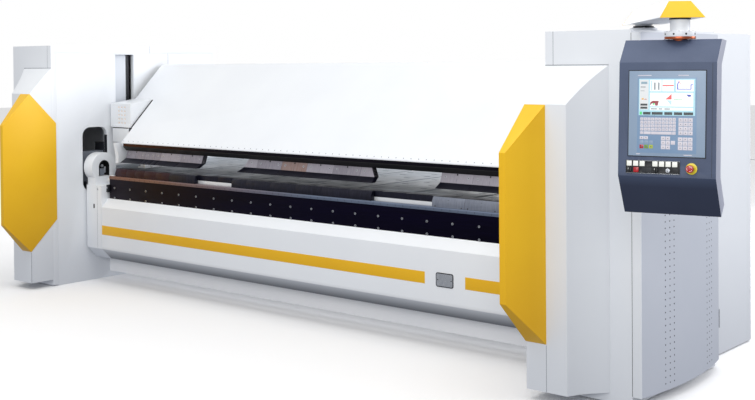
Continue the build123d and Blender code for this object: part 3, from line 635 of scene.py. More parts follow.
# ---------------------------------------------------------------- repeats with Geometry Nodes
def makeRepeatTree():  # a grid of copies: Count A steps of Step A, Count B steps of Step B
    tree = bpy.data.node_groups.new("repeatOnGrid", "GeometryNodeTree")
    face = tree.interface
    for label, kind in (
        ("Piece", "Object"),
        ("Finish", "Material"),
        ("Start", "Vector"),
        ("Step A", "Vector"),
        ("Count A", "Int"),
        ("Step B", "Vector"),
        ("Count B", "Int"),
        ("Turn", "Vector"),
    ):
        face.new_socket(name=label, in_out="INPUT", socket_type="NodeSocket" + kind)
    face.new_socket(name="Geometry", in_out="OUTPUT", socket_type="NodeSocketGeometry")
    given = addNode(tree, "NodeGroupInput").outputs

    def compute(kind, operation, links):
        return addNode(tree, "ShaderNode" + kind, {"operation": operation}, links).outputs[0]

    total = compute("Math", "MULTIPLY", {0: given["Count A"], 1: given["Count B"]})
    line = addNode(tree, "GeometryNodeMeshLine", {"Offset": (0, 0, 0)}, {"Count": total})
    index = addNode(tree, "GeometryNodeInputIndex").outputs[0]
    across = compute("Math", "MODULO", {0: index, 1: given["Count A"]})
    ratio = compute("Math", "DIVIDE", {0: index, 1: given["Count A"]})
    up = compute("Math", "FLOOR", {0: ratio})
    moveA = compute("VectorMath", "SCALE", {0: given["Step A"], "Scale": across})
    moveB = compute("VectorMath", "SCALE", {0: given["Step B"], "Scale": up})
    both = compute("VectorMath", "ADD", {0: moveA, 1: moveB})
    spot = compute("VectorMath", "ADD", {0: both, 1: given["Start"]})
    links = {"Geometry": line.outputs[0], "Position": spot}
    points = addNode(tree, "GeometryNodeSetPosition", links=links).outputs[0]
    piece = addNode(tree, "GeometryNodeObjectInfo", links={"Object": given["Piece"]})
    links = {"Points": points, "Instance": piece.outputs["Geometry"], "Rotation": given["Turn"]}
    copies = addNode(tree, "GeometryNodeInstanceOnPoints", links=links).outputs[0]
    real = addNode(tree, "GeometryNodeRealizeInstances", links={0: copies}).outputs[0]
    links = {"Geometry": real, "Material": given["Finish"]}
    painted = addNode(tree, "GeometryNodeSetMaterial", links=links).outputs[0]
    addNode(tree, "NodeGroupOutput", links={0: painted})
    return tree


repeatTree = makeRepeatTree()
groupSockets = repeatTree.interface.items_tree
socketNames = {item.name: item.identifier for item in groupSockets if item.in_out == "INPUT"}


def templateFrom(build):
    bm = bmesh.new()
    build(bm)
    bmesh.ops.recalc_face_normals(bm, faces=bm.faces)
    obj = bpy.data.objects.new("template", meshFrom("template", bm))
    bpy.context.scene.collection.objects.link(obj)
    return obj


def repeat(
    template, finishName, start, stepA, countA, stepB=(0, 0, 0), countB=1, turn=(0, 0, 0)
):
    carrier = bpy.data.objects.new("carrier", bpy.data.meshes.new("carrier"))
    bpy.context.scene.collection.objects.link(carrier)
    modifier = carrier.modifiers.new("repeat", "NODES")
    modifier.node_group = repeatTree
    for label, value in {
        "Piece": template,
        "Finish": finish[finishName],
        "Start": tuple(start),
        "Step A": tuple(stepA),
        "Count A": countA,
        "Step B": tuple(stepB),
        "Count B": countB,
        "Turn": tuple(turn),
    }.items():
        modifier[socketNames[label]] = value
    evaluated = carrier.evaluated_get(bpy.context.evaluated_depsgraph_get())
    mesh = bpy.data.meshes.new_from_object(evaluated)
    carrier.modifiers.clear()
    bpy.data.objects.remove(carrier)
    return mesh


def joinMeshes(name, meshes, nodeName, stands=()):
    bm = bmesh.new()
    finishes = []
    for mesh in meshes:
        offset, old = len(finishes), len(bm.faces)
        finishes.extend(mesh.materials)
        bm.from_mesh(mesh)
        bm.faces.ensure_lookup_table()
        for face in bm.faces[old:]:
            face.material_index += offset
    joined = meshFrom(name, bm)
    for item in finishes:
        joined.materials.append(item)
    return place(name, joined, bodyOf(nodeName), stands)


# each template faces -Y, with its back on the origin's plane
def headDisc(radius, height, sides=10, bevel=0.0):
    def build(bm):
        addDisc(bm, (0, -height / 2, 0), radius, height, "Y", sides, bevel)

    return templateFrom(build)


def socketScrew(radius, height, socket):
    def build(bm):
        addDisc(bm, (0, -height / 2, 0), radius, height, "Y", 20, radius * 0.14)
        addDisc(bm, (0, -height - 0.0001, 0), socket, 0.0006, "Y", 6)

    return templateFrom(build)


def lineMark(halfWidth, tall):
    return templateFrom(
        lambda bm: addBlock(bm, (-halfWidth, -0.0003, 0), (halfWidth, 0.0002, tall))
    )


print("repeat tree ready")


# ---------------------------------------------------------------- rail screws and strip marks
railLow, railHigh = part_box("folding_rail")
screwLook = {"radius": 0.0078, "height": 0.006, "socket": 0.0042, "pitch": 0.21, "columns": 21}
screwRows = (0.732, 0.815)
socketTemplate = templateFrom(
    lambda bm: addDisc(
        bm, (0, -screwLook["height"] - 0.0001, 0), screwLook["socket"], 0.0006, "Y", 6
    )
)
headTemplate = headDisc(screwLook["radius"], screwLook["height"], 20, 0.0011)
screwStart = (-screwLook["pitch"] * (screwLook["columns"] // 2), railLow.y, screwRows[0])
screwStep = (screwLook["pitch"], 0, 0)
rowStep = (0, 0, screwRows[1] - screwRows[0])
screwMeshes = [
    repeat(template, name, screwStart, screwStep, screwLook["columns"], rowStep, 2)
    for template, name in ((headTemplate, "zinc"), (socketTemplate, "deep_black"))
]
joinMeshes("railScrews", screwMeshes, "rail_screws", ["rail_screws"])

stripLow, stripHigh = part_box("ruled_strip")
markLook = {"tall": 0.013, "inset": 0.02, "up": 0.004}
markStart = (stripLow.x + markLook["inset"], stripLow.y, stripLow.z + markLook["up"])
marks = []
for halfWidth, tall, pitch, finishName in (
    (0.0011, markLook["tall"], 0.0655, "deep_black"),
    (0.0005, markLook["tall"] * 0.45, 0.0131, "joint_line"),
):
    count = int((stripHigh.x - stripLow.x) / pitch)
    template = lineMark(halfWidth, tall)
    marks.append(repeat(template, finishName, markStart, (pitch, 0, 0), count))
joinMeshes("stripMarks", marks, "ruled_strip")
print("rail screws and strip marks")


# ---------------------------------------------------------------- upper beam: cover screws, blades
coverLow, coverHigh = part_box("upper_beam_cover")
coverLook = {"pitch": 0.0655, "radius": 0.0036, "above": 0.012, "halfWidth": 2.085, "wall": 0.008}
dots = repeat(
    headDisc(coverLook["radius"], 0.0009, 12),
    "joint_line",
    (
        -coverLook["halfWidth"],
        coverLow.y + coverLook["above"] - 0.0002,
        coverLow.z + coverLook["wall"] + coverLook["above"],
    ),
    (coverLook["pitch"], 0, 0),
    int(2 * coverLook["halfWidth"] / coverLook["pitch"]) + 1,
    turn=(-math.pi / 4, 0, 0),  # faces the cover's 45 degree slope
)
joinMeshes("coverScrews", [dots], "upper_beam_cover")

bladeLow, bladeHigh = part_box("upper_blades")
bladeLook = {
    "faceFoot": (0.058, 0.034),  # y, and height over the tip, where the silver face starts
    "faceHead": (0.080, 0.097),
    "holeInset": 0.037,
    "holeUp": 0.60,
    "ringRadius": 0.0078,
    "holeRadius": 0.0036,
    "notchRadius": 0.0062,
    "wide": 0.2,
    "middleHole": 0.094,
}
(footY, footZ), (headY, headZ) = bladeLook["faceFoot"], bladeLook["faceHead"]
bladeRun, bladeRise = headY - footY, headZ - footZ
faceTilt = Matrix.Rotation(-math.atan2(bladeRun, bladeRise), 4, "X")


def onBladeFace(x, share, proud):  # a place on the sloping face, turned to look out of it
    length = math.hypot(bladeRun, bladeRise)
    y = footY + bladeRun * share - proud * bladeRise / length
    z = bladeLow.z + footZ + bladeRise * share + proud * bladeRun / length
    return Matrix.Translation((x, y, z)) @ faceTilt


bm = bmesh.new()
for low, high in islands("upper_blades"):
    length, middle = high.x - low.x, (low.x + high.x) / 2
    wide = length > bladeLook["wide"]
    holes = [middle]
    if wide and -0.6 < middle < 0.7:
        holes = [middle - bladeLook["middleHole"], middle + bladeLook["middleHole"]]
    elif wide:
        holes = [low.x + bladeLook["holeInset"], high.x - bladeLook["holeInset"]]
    elif length > 0.1:
        holes = [low.x + length * 0.62] if middle < 0 else [low.x + 0.034]
    for x in holes:
        for radius, proud, sides, index in (
            (bladeLook["ringRadius"], 0.0003, 20, 0),
            (bladeLook["holeRadius"], 0.0007, 14, 1),
        ):
            turn = onBladeFace(x, bladeLook["holeUp"], proud)
            addDisc(bm, (0, 0, 0), radius, 0.001, "Y", sides, turn=turn, index=index)
    if wide:
        turn = onBladeFace(middle, 0.9, 0.0003)
        addDisc(bm, (0, 0, 0), bladeLook["notchRadius"], 0.001, "Y", 14, turn=turn, index=1)
        turn = onBladeFace(middle, 0.28, 0.0002)
        addBlock(bm, (-0.0007, -0.0003, -0.014), (0.0007, 0.0003, 0.014), turn=turn, index=2)
addDetail("bladeMarks", bm, "upper_blades", "zinc", "deep_black", "joint_line")

# end brackets: pale discs behind the holes, and painted shadow lines along the foot and the slope
bracketLook = {
    "lastColumn": 2.290,
    "columnPitch": 0.042,
    "firstRow": 1.355,
    "rowPitch": 0.034,
    "foot": (2.152, 2.373),
    "gap": (2.1258, 2.111),
    "slant": [(0.1585, 1.3170), (0.3905, 1.5490), (0.3890, 1.5505), (0.1570, 1.3185)],
}
bm = bmesh.new()
for side in (-1, 1):
    for column in range(3):
        x = side * (bracketLook["lastColumn"] - bracketLook["columnPitch"] * column)
        for row in range(5):
            z = bracketLook["firstRow"] + bracketLook["rowPitch"] * row
            addDisc(bm, (x, 0.1585, z), 0.0059, 0.001, "Y", 16)
    near, far = mirrored(side, *bracketLook["foot"])
    addBlock(bm, (near, 0.1522, 1.3085), (far, 0.1532, 1.3165), index=1)
    near, far = mirrored(side, *bracketLook["gap"])
    addOutline(bm, bracketLook["slant"], "X", near, far, index=1)
addDetail("bracketHoleFilm", bm, "end_brackets", "pale_orange", "deep_black")
print("upper beam details")


# ---------------------------------------------------------------- folding tools: screws and marks
toolLook = {"screwInset": 0.0245, "screwZ": 0.920, "ringY": -0.0285, "ringZ": 0.9625}
bm = bmesh.new()
for low, high in islands("folding_tools"):
    for x in (low.x + toolLook["screwInset"], high.x - toolLook["screwInset"]):
        addDisc(bm, (x, low.y + 0.004, toolLook["screwZ"]), 0.0042, 0.004, "Y", 14, 0.0005)
    if low.x > segmentLook["greyStart"]:  # a ring and two strokes on the grey segments
        middle = (low.x + high.x) / 2
        spot = (middle, toolLook["ringY"], toolLook["ringZ"])
        addDisc(bm, spot, 0.0045, 0.0006, "Y", 16, index=1)
        for z, half in ((0.934, 0.006), (0.944, 0.004)):
            corner = (middle + half, low.y + 0.0003, z + 0.0016)
            addBlock(bm, (middle - half, low.y - 0.0002, z), corner, index=1)
addDetail("foldingToolMarks", bm, "folding_tools", "deep_black", "joint_line")
print("folding tool details")


# ---------------------------------------------------------------- front cover: stripe, blank plate
frontLow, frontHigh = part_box("folding_front_cover")
stripeLook = {"low": 0.419, "high": 0.497, "leftEnd": 1.292, "rightStart": 1.616, "inset": 0.0015}
bm = bmesh.new()
for x0, x1 in (
    (frontLow.x + stripeLook["inset"], stripeLook["leftEnd"]),
    (stripeLook["rightStart"], frontHigh.x - stripeLook["inset"]),
):
    corner = (x1, frontLow.y + 0.0004, stripeLook["high"])
    addBlock(bm, (x0, frontLow.y - 0.0006, stripeLook["low"]), corner, 0.0002)
addDetail("frontStripe", bm, "folding_front_cover", "yellow_sheet", slot="yellow_sheet")

plateLook = {"x": (1.384, 1.524), "z": (0.412, 0.504), "thick": 0.003, "corner": 0.014}


def roundedOutline(inset, corner, steps=6):
    (x0, x1), (z0, z1) = plateLook["x"], plateLook["z"]
    right, left = x1 - inset - corner, x0 + inset + corner
    top, bottom = z1 - inset - corner, z0 + inset + corner
    centres = ((right, top, 0), (left, top, 90), (left, bottom, 180), (right, bottom, 270))
    outline = []
    for cx, cz, start in centres:
        for step in range(steps + 1):
            angle = math.radians(start + 90 * step / steps)
            outline.append((cx + corner * math.cos(angle), cz + corner * math.sin(angle)))
    return outline


bm = bmesh.new()
plateFront = frontLow.y - plateLook["thick"]
addOutline(bm, roundedOutline(0.0, plateLook["corner"]), "Y", plateFront, frontLow.y)
inner = roundedOutline(0.006, plateLook["corner"] - 0.004)
addOutline(bm, inner, "Y", plateFront - 0.0006, plateFront + 0.0002, index=1)
for x in (plateLook["x"][0] + 0.016, plateLook["x"][1] - 0.016):
    spot = (x, plateFront - 0.001, sum(plateLook["z"]) / 2)
    addDisc(bm, spot, 0.0035, 0.0018, "Y", 16, 0.0004, index=2)
plateFinishes = ("dark_enamel", "zinc", "deep_black")
addDetail("blankPlate", bm, "folding_front_cover", *plateFinishes, slot="white_sheet")
print("front cover details")


# ---------------------------------------------------------------- hubs and arms
pocketLook = {"half": 0.0545, "floor": 0.906, "spring": 0.985, "deep": 0.068, "lining": 0.965}
half, floorZ, springZ = pocketLook["half"], pocketLook["floor"], pocketLook["spring"]
bm = bmesh.new()
for low, high in islands("folding_hubs"):
    side = -1 if low.x < 0 else 1
    face = high.x if side < 0 else low.x  # the pocket opens towards the middle of the machine
    deep = face + side * pocketLook["deep"]
    arch = [(-half, floorZ), (half, floorZ), (half, springZ)]
    for angle in range(10, 180, 10):
        bend = math.radians(angle)
        arch.append((half * math.cos(bend), springZ + half * math.sin(bend)))
    arch.append((-half, springZ))
    near, far = sorted((deep, deep - side * 0.002))
    addOutline(bm, arch, "X", near, far)
    near, far = sorted((face + side * 0.002, deep))
    for y in (-0.054, 0.052):
        addBlock(bm, (near, y, floorZ), (far, y + 0.002, springZ))
    share = pocketLook["lining"]
    inner = [(y * share, springZ + (z - springZ) * share) for y, z in arch[2:]]
    for corners in zip(arch[2:], arch[3:], inner[1:], inner):
        addOutline(bm, list(corners), "X", near, far)
    # latch block, guide pin and spring of the locking device inside the pocket
    near, far = sorted((face + side * 0.018, face + side * 0.052))
    addBlock(bm, (near, -0.03, 0.912), (far, 0.012, 0.968), 0.002, index=1)
    pinX = face + side * 0.03
    addDisc(bm, (pinX, 0.026, 0.955), 0.009, 0.05, "Z", 16, 0.001, index=2)
    for coil in range(5):
        spot = (pinX, 0.026, 0.935 + 0.009 * coil)
        addDisc(bm, spot, 0.0125, 0.0035, "Z", 18, 0.001, index=1)
    addDisc(bm, (face + side * 0.016, -0.012, 0.99), 0.012, 0.01, "X", 20, 0.001, index=2)
addDetail("hubLatch", bm, "folding_hubs", "deep_black", "motor_paint", "zinc")

armLook = {"seam": 0.058, "seamZ": (0.30, 0.826), "slot": 0.104, "slotZ": (0.636, 0.672)}
bm = bmesh.new()
for low, high in islands("folding_arms"):
    side = -1 if low.x < 0 else 1
    inside = high.x if side < 0 else low.x
    x, (z0, z1) = inside + side * armLook["seam"], armLook["seamZ"]
    addBlock(bm, (x - 0.001, low.y - 0.0003, z0), (x + 0.001, low.y + 0.0006, z1))
    x, (z0, z1) = inside + side * armLook["slot"], armLook["slotZ"]
    corner = (x + 0.009, low.y + 0.0008, z1)
    addBlock(bm, (x - 0.009, low.y - 0.0005, z0), corner, 0.0003, index=1)
    addDisc(bm, (side * 2.25, low.y + 0.006, 0.8), 0.0085, 0.008, "Y", 18, 0.0006, index=2)
addDetail("armDetails", bm, "folding_arms", "joint_line", "deep_black", "zinc")

# clamps between the rail's ends and the arms
bm = bmesh.new()
for side in (-1, 1):
    a, b = mirrored(side, 2.1735, 2.1965)
    addBlock(bm, (a, -0.052, 0.775), (b, -0.012, 0.838), 0.0015)
    addDisc(bm, ((a + b) / 2, -0.055, 0.812), 0.008, 0.006, "Y", 18, 0.001, index=1)
    addBlock(bm, (a, -0.038, 0.868), (b, -0.006, 0.894), 0.001, index=2)
    a, b = mirrored(side, 2.168, 2.115)
    z = stripHigh.z
    addBlock(bm, (a, -0.036, z + 0.0005), (b, -0.008, z + 0.007), 0.0008, index=2)
clampFinishes = ("dark_enamel", "zinc", "bright_steel")
addDetail("railClamps", bm, "folding_rail", *clampFinishes, slot="dark_enamel")
print("hub and arm details")


# ---------------------------------------------------------------- stands: joints of the sheets
housings = [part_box("left_housing"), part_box("right_housing")]
rightLow, rightHigh = housings[1]
jointLook = {
    "width": 0.0022,
    "proud": 0.0004,
    "deep": 0.0006,
    "topSplit": 0.605,
    "plateSplit": 0.814,
    "plateTop": 1.961,
    "front": 2.475,
    "back": (0.35, 1.2),
    "backInset": 0.03,
    "postEdge": 2.958,
    "postTop": 2.008,
}
half, proud, deep = jointLook["width"] / 2, jointLook["proud"], jointLook["deep"]
bm = bmesh.new()
for side, (low, high) in zip((-1, 1), housings):
    face = high.x if side < 0 else low.x
    a, b = sorted((face - side * proud, face + side * deep))
    y = jointLook["topSplit"]
    addBlock(bm, (a, y - half, jointLook["plateTop"]), (b, y + half, high.z))
    corner = (high.x - 0.001, y + half, high.z + proud)
    addBlock(bm, (low.x + 0.001, y - half, high.z - deep), corner)
    y = jointLook["plateSplit"]
    addBlock(bm, (a, y - half, 0.02), (b, y + half, jointLook["plateTop"] - 0.0005))
    x = side * jointLook["front"]
    addBlock(bm, (x - half, low.y - proud, 0.05), (x + half, low.y + deep, high.z - 0.001))
    if side < 0:  # two upright joints on the outer side of the closed stand
        for y in (0.0, 0.603):
            corner = (low.x + deep, y + half, high.z - 0.001)
            addBlock(bm, (low.x - proud, y - half, 0.05), corner)
    inset = jointLook["backInset"]
    for z in jointLook["back"]:
        corner = (high.x - inset, high.y + proud, z + half)
        addBlock(bm, (low.x + inset, high.y - deep, z - half), corner)
    for x in (low.x + inset, high.x - inset):
        corner = (x + half, high.y + proud, high.z - inset)
        addBlock(bm, (x - half, high.y - deep, 0.05), corner)
for (low, high), (noseLow, noseHigh) in zip(islands("column_covers"), islands("nose_covers")):
    corner = (high.x, high.y - 0.0002, high.z + 0.0030)
    addBlock(bm, (low.x, high.y - 0.0012, high.z - 0.0004), corner)
    edge = noseHigh.x - deep
    corner = (edge + half, low.y + deep, noseLow.z - 0.004)
    addBlock(bm, (edge - half, low.y - proud, low.z + 0.002), corner)
postX = rightHigh.x if rightHigh.x < 2.97 else jointLook["postEdge"]
corner = (postX + 0.0012, rightLow.y + deep, jointLook["postTop"])
addBlock(bm, (postX - 0.0012, rightLow.y - proud, 0.06), corner, index=1)
addDetail("standJoints", bm, "left_housing", "joint_line", "deep_black")

# closing plates in the upper part of the guide slots
bm = bmesh.new()
for side in (-1, 1):
    a, b = mirrored(side, 2.4475, 2.4500)
    addBlock(bm, (a, 0.2255, 1.425), (b, 0.352, 1.9485), 0.0006)
addDetail("slotPlates", bm, "left_side_frame", "frame_paint", slot="frame_paint")

# cover screws at the back of the stands
backLook = {"inset": 0.055, "lowest": 0.12, "rowPitch": 0.37, "rows": 6, "rightEnd": 2.859}
screwTemplate = socketScrew(0.007, 0.003, 0.0035)
backScrews = []
for low, high in housings:
    width = min(high.x, backLook["rightEnd"]) - low.x - 2 * backLook["inset"]
    start = (low.x + backLook["inset"], high.y, backLook["lowest"])
    grid = (start, (width, 0, 0), 2, (0, 0, backLook["rowPitch"]), backLook["rows"])
    backScrews.append(repeat(screwTemplate, "zinc", *grid, turn=(0, 0, math.pi)))
joinMeshes("backScrews", backScrews, "left_housing")
print("stand joints")


# ---------------------------------------------------------------- cabinet door: perforation
doorLow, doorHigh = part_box("cabinet_door")
doorMesh = frame["nodes"]["cabinet_door"].data
doorTree = BVHTree.FromPolygons(
    [v.co.copy() for v in doorMesh.vertices], [tuple(q.vertices) for q in doorMesh.polygons]
)
doorLook = {
    "columns": (-0.209, -0.163, -0.118, 0.333, 0.378, 0.423),
    "radius": 0.0042,
    "rowPitch": 0.0354,
    "rows": 54,
    "lowest": 0.095,
    "sunk": 0.0005,
}
# the holes are drawn as dark discs: painted shade of the cabinet's inside
holeDisc = headDisc(doorLook["radius"], 0.0009)
perforation = []
for y in doorLook["columns"]:
    outside, inwards = Vector((doorHigh.x + 0.2, y, 1.0)), Vector((-1, 0, 0))
    spot, normal, _, _ = doorTree.ray_cast(outside, inwards)
    turn = (0, 0, math.atan2(normal.x, -normal.y))
    sunk = doorLook["sunk"]
    start = (spot.x - sunk * normal.x, y - sunk * normal.y, doorLook["lowest"])
    rows = ((0, 0, doorLook["rowPitch"]), doorLook["rows"])
    perforation.append(repeat(holeDisc, "dark_enamel", start, *rows, turn=turn))
joinMeshes("doorPerforation", perforation, "cabinet_door")
print("door perforation")


# ---------------------------------------------------------------- swivel arm: seals and screws
armBaseLow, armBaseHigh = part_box("arm_base")
ringLow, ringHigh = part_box("swivel_ring")
pivot, tube = (armBaseLow + armBaseHigh) / 2, (ringLow + ringHigh) / 2


def aroundZ(centre, radius, angle, z):
    return (centre.x + radius * math.cos(angle), centre.y + radius * math.sin(angle), z)


bm = bmesh.new()
addDisc(bm, (pivot.x, pivot.y, 2.0445), 0.056, 0.009, "Z", 48, 0.0012)
# the tube's black seal, raised to the arm's underside where the arm shades the tube's top: partly
# painted shade
addDisc(bm, (tube.x, tube.y, 2.0530), 0.0500, 0.007, "Z", 48, 0.0010)
for number in range(8):  # bolts on the flange, and small plugs in its rim
    angle = math.radians(22.5 + 45 * number)
    spot = aroundZ(tube, 0.060, angle, 1.9945)
    addDisc(bm, spot, 0.0052, 0.0036, "Z", 16, 0.0006, index=1)
    turn = Matrix.Translation((tube.x, tube.y, 1.981)) @ Matrix.Rotation(angle - 0.35, 4, "Z")
    addDisc(bm, (0.0731, 0, 0), 0.0045, 0.0012, "X", 14, turn=turn)
addDetail("armSeals", bm, "swivel_arm", "black_plastic", "zinc", slot="black_plastic")
bm = bmesh.new()
for number in range(6):
    spot = aroundZ(pivot, 0.066, math.radians(60 * number), armBaseHigh.z - 0.0065)
    addDisc(bm, spot, 0.0045, 0.004, "Z", 14, 0.0006)
addDetail("pivotScrews", bm, "arm_base", "zinc", slot="bright_steel")
print("arm details")


# ---------------------------------------------------------------- control panel
bezelLow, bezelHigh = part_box("panel_bezel")
bezelMiddle = (bezelLow + bezelHigh) / 2
panelLook = {"yaw": 11.6, "tilt": 3.7, "bezelZ": 1.6125, "bezelHalf": 0.0015, "cheek": 0.21}
turnZ = Matrix.Rotation(math.radians(panelLook["yaw"]), 4, "Z")
panelTurn = turnZ @ Matrix.Rotation(-math.radians(panelLook["tilt"]), 4, "X")
bezelSpot = Vector((0, -panelLook["bezelHalf"], panelLook["bezelZ"]))
# on the panel: x across, z up its face, -y out of it
panelPlace = Matrix.Translation(bezelMiddle - panelTurn @ bezelSpot) @ panelTurn

# housing: dark front, lighter cheeks
bm = merged("panel_housing")
across = panelTurn @ Vector((1, 0, 0))
for face in bm.faces:
    reach = abs(across.dot(face.calc_center_median()) - across.dot(bezelMiddle))
    onCheek = abs(across.dot(face.normal)) > 0.9 and reach > panelLook["cheek"]
    face.material_index = 1 if onCheek else 0
bevelEdges(bm, 0.0022)
replaceNode("panel_housing", bm, "panel_paint", "panel_cheek")


def onPanel(bm, low, high, out, thick, bevel=0.0, index=0):  # between (across, up) corners
    corner = (high[0], -out, high[1])
    return addBlock(bm, (low[0], -out - thick, low[1]), corner, bevel, panelPlace, index)


def discOnPanel(bm, x, z, radius, out, thick, index=0, sides=28):
    spot = (x, -out - thick / 2, z)
    return addDisc(bm, spot, radius, thick, "Y", sides, turn=panelPlace, index=index)


# gasket round the film, and a fine line along the housing's front
bm = bmesh.new()
for low, high in (
    ((-0.181, 1.411), (0.181, 1.4145)),
    ((-0.181, 1.8105), (0.181, 1.814)),
    ((-0.181, 1.411), (-0.1775, 1.814)),
    ((0.1775, 1.411), (0.181, 1.814)),
):
    onPanel(bm, low, high, 0.0, 0.0016, 0.0004)
onPanel(bm, (0.206, 1.325), (0.2075, 1.845), 0.0, 0.0005)
addDetail("bezelGasket", bm, "panel_bezel", "black_plastic", slot="black_plastic")

# the lit picture on the screen: plain panes and shapes, no writing
screenLook = {"low": (-0.130, 1.603), "high": (0.131, 1.773), "front": 0.0052}
# low and high corner as shares of the screen from its lower left, colour
backPane = [(0.00, 0.00, 1.00, 1.00, "#A6D3DF")]
panes = [
    (0.015, 0.16, 0.175, 0.975, "#D7D8D8"),
    (0.20, 0.66, 0.405, 0.97, "#FAFBFB"),
    (0.42, 0.66, 0.625, 0.97, "#FDFDFD"),
    (0.66, 0.66, 0.97, 0.97, "#FDFDFE"),
    (0.20, 0.25, 0.965, 0.62, "#FDFEFD"),
    (0.20, 0.14, 0.965, 0.22, "#F2F5F5"),
]
marks = [
    (0.04, 0.86, 0.15, 0.92, "#7F9AA8"),
    (0.03, 0.76, 0.12, 0.79, "#9A9C9E"),
    (0.03, 0.66, 0.10, 0.68, "#A8AAAC"),
    (0.05, 0.43, 0.09, 0.47, "#E0A84A"),
    (0.10, 0.43, 0.14, 0.45, "#C56A4A"),
    (0.03, 0.265, 0.155, 0.32, "#101414"),
    (0.03, 0.18, 0.155, 0.235, "#101414"),
    (0.425, 0.80, 0.62, 0.83, "#E2453F"),
    (0.625, 0.425, 0.77, 0.44, "#58B06A"),
    (0.68, 0.71, 0.70, 0.86, "#5A63C8"),
    (0.68, 0.71, 0.93, 0.73, "#5A63C8"),
    (0.915, 0.71, 0.93, 0.85, "#5A63C8"),
    (0.915, 0.83, 0.96, 0.85, "#5A63C8"),
    (0.215, 0.68, 0.235, 0.95, "#B9D9E4"),
    (0.27, 0.70, 0.30, 0.90, "#8D9296"),
    (0.34, 0.70, 0.37, 0.90, "#8D9296"),
    (0.02, 0.02, 0.06, 0.10, "#3FCB62"),
]
for u0, u1 in ((0.08, 0.215), (0.235, 0.43), (0.46, 0.60), (0.63, 0.775), (0.80, 0.965)):
    marks.append((u0, 0.02, u1, 0.095, "#0E1414"))
for u0, u1 in ((0.22, 0.33), (0.36, 0.42), (0.46, 0.56)):
    marks.append((u0, 0.165, u1, 0.195, "#8E979B"))
bentSheet = [(0.20, 0.27), (0.21, 0.36), (0.25, 0.40), (0.36, 0.40), (0.34, 0.27), (0.30, 0.27)]
outlines = [
    ([(0.475, 0.44), (0.585, 0.44), (0.585, 0.59)], "#E35350"),
    ([(0.50, 0.415), (0.585, 0.415), (0.585, 0.27)], "#BCDDF0"),
    ([(0.84, 0.575), (0.93, 0.565), (0.915, 0.515), (0.875, 0.52)], "#1D37A8"),
    (bentSheet + [(0.29, 0.33), (0.24, 0.33)], "#8E1620"),
    ([(0.25, 0.30), (0.27, 0.345), (0.29, 0.31), (0.27, 0.285)], "#35E07A"),
    ([(0.68, 0.85), (0.70, 0.93), (0.715, 0.92), (0.70, 0.85)], "#5A63C8"),
    ([(0.705, 0.94), (0.72, 0.93), (0.745, 0.86), (0.735, 0.86)], "#E2453F"),
]


def screenSpot(u, v):
    (x0, z0), (x1, z1) = screenLook["low"], screenLook["high"]
    return (x0 + u * (x1 - x0), z0 + v * (z1 - z0))


bm = bmesh.new()
tones = []
front = screenLook["front"]
for thick, group in ((0.0004, backPane), (0.0005, panes), (0.0008, marks)):
    for u0, v0, u1, v1, colour in group:
        made = onPanel(bm, screenSpot(u0, v0), screenSpot(u1, v1), front - 0.0003, thick)
        tones += [(face, linearColour(colour)) for face in made]
for outline, colour in outlines:
    shape = [screenSpot(u, v) for u, v in outline]
    made = addOutline(bm, shape, "Y", -front - 0.0006, -front + 0.0001, turn=panelPlace)
    tones += [(face, linearColour(colour)) for face in made]
layer = bm.loops.layers.float_color.new("tone")
for face, colour in tones:
    for loop in face.loops:
        loop[layer] = colour
addDetail("screenPicture", bm, "screen", "display_light")

# membrane keys: small pads with a plain mark on each
keyLook = {"pad": 0.0012, "gap": 0.0009, "out": 0.003}
padTop = keyLook["out"] + keyLook["pad"]
keyBlocks = [
    # low corner, high corner, columns, rows
    ((-0.123, 1.5305), (0.044, 1.594), 10, 4),
    ((0.0545, 1.514), (0.121, 1.594), 3, 4),
    ((-0.025, 1.447), (0.0185, 1.508), 2, 3),
    ((0.053, 1.445), (0.121, 1.505), 3, 3),
    ((-0.125, 1.491), (-0.084, 1.507), 2, 1),
]
bm = bmesh.new()


def addPad(low, high, index=0):
    onPanel(bm, low, high, keyLook["out"], keyLook["pad"], 0.0003, index)


for low, high, columns, rows in keyBlocks:
    stepX, stepZ = (high[0] - low[0]) / columns, (high[1] - low[1]) / rows
    for column in range(columns):
        for row in range(rows):
            x, z = low[0] + column * stepX, low[1] + row * stepZ
            gap = keyLook["gap"]
            addPad((x + gap, z + gap), (x + stepX - gap, z + stepZ - gap))
            mark = random.Random(column * 31 + row * 7 + columns).random()
            cx, cz = x + stepX * 0.5, z + stepZ * 0.5
            wide, tall = 0.0012 + 0.0014 * mark, 0.0024 - 0.0012 * mark
            if columns == 10:
                wide, tall = 0.0011, 0.0015
            corner = (cx + wide, cz + tall)
            onPanel(bm, (cx - wide, cz - tall), corner, padTop, 0.0002, 0, 1)
for x0, x1 in ((-0.1221, -0.1079), (-0.1061, -0.0725), (-0.0707, 0.0250), (0.0268, 0.0430)):
    addPad((x0, 1.5155), (x1, 1.5285))
addPad((0.0215, 1.470), (0.0405, 1.4875))
for x0, index in ((-0.124, 2), (-0.102, 3), (-0.080, 4)):
    addPad((x0, 1.450), (x0 + 0.018, 1.4665), index)
    onPanel(bm, (x0 + 0.006, 1.4555), (x0 + 0.012, 1.4610), padTop, 0.0002, 0, 1)
    onPanel(bm, (x0, 1.4705), (x0 + 0.018, 1.4865), keyLook["out"], 0.0004, 0.0002, 5)
keyFinishes = ("key_film", "joint_line", "red_button", "key_green", "key_lime", "bezel_film")
replaceNode("key_pads", bm, *keyFinishes)

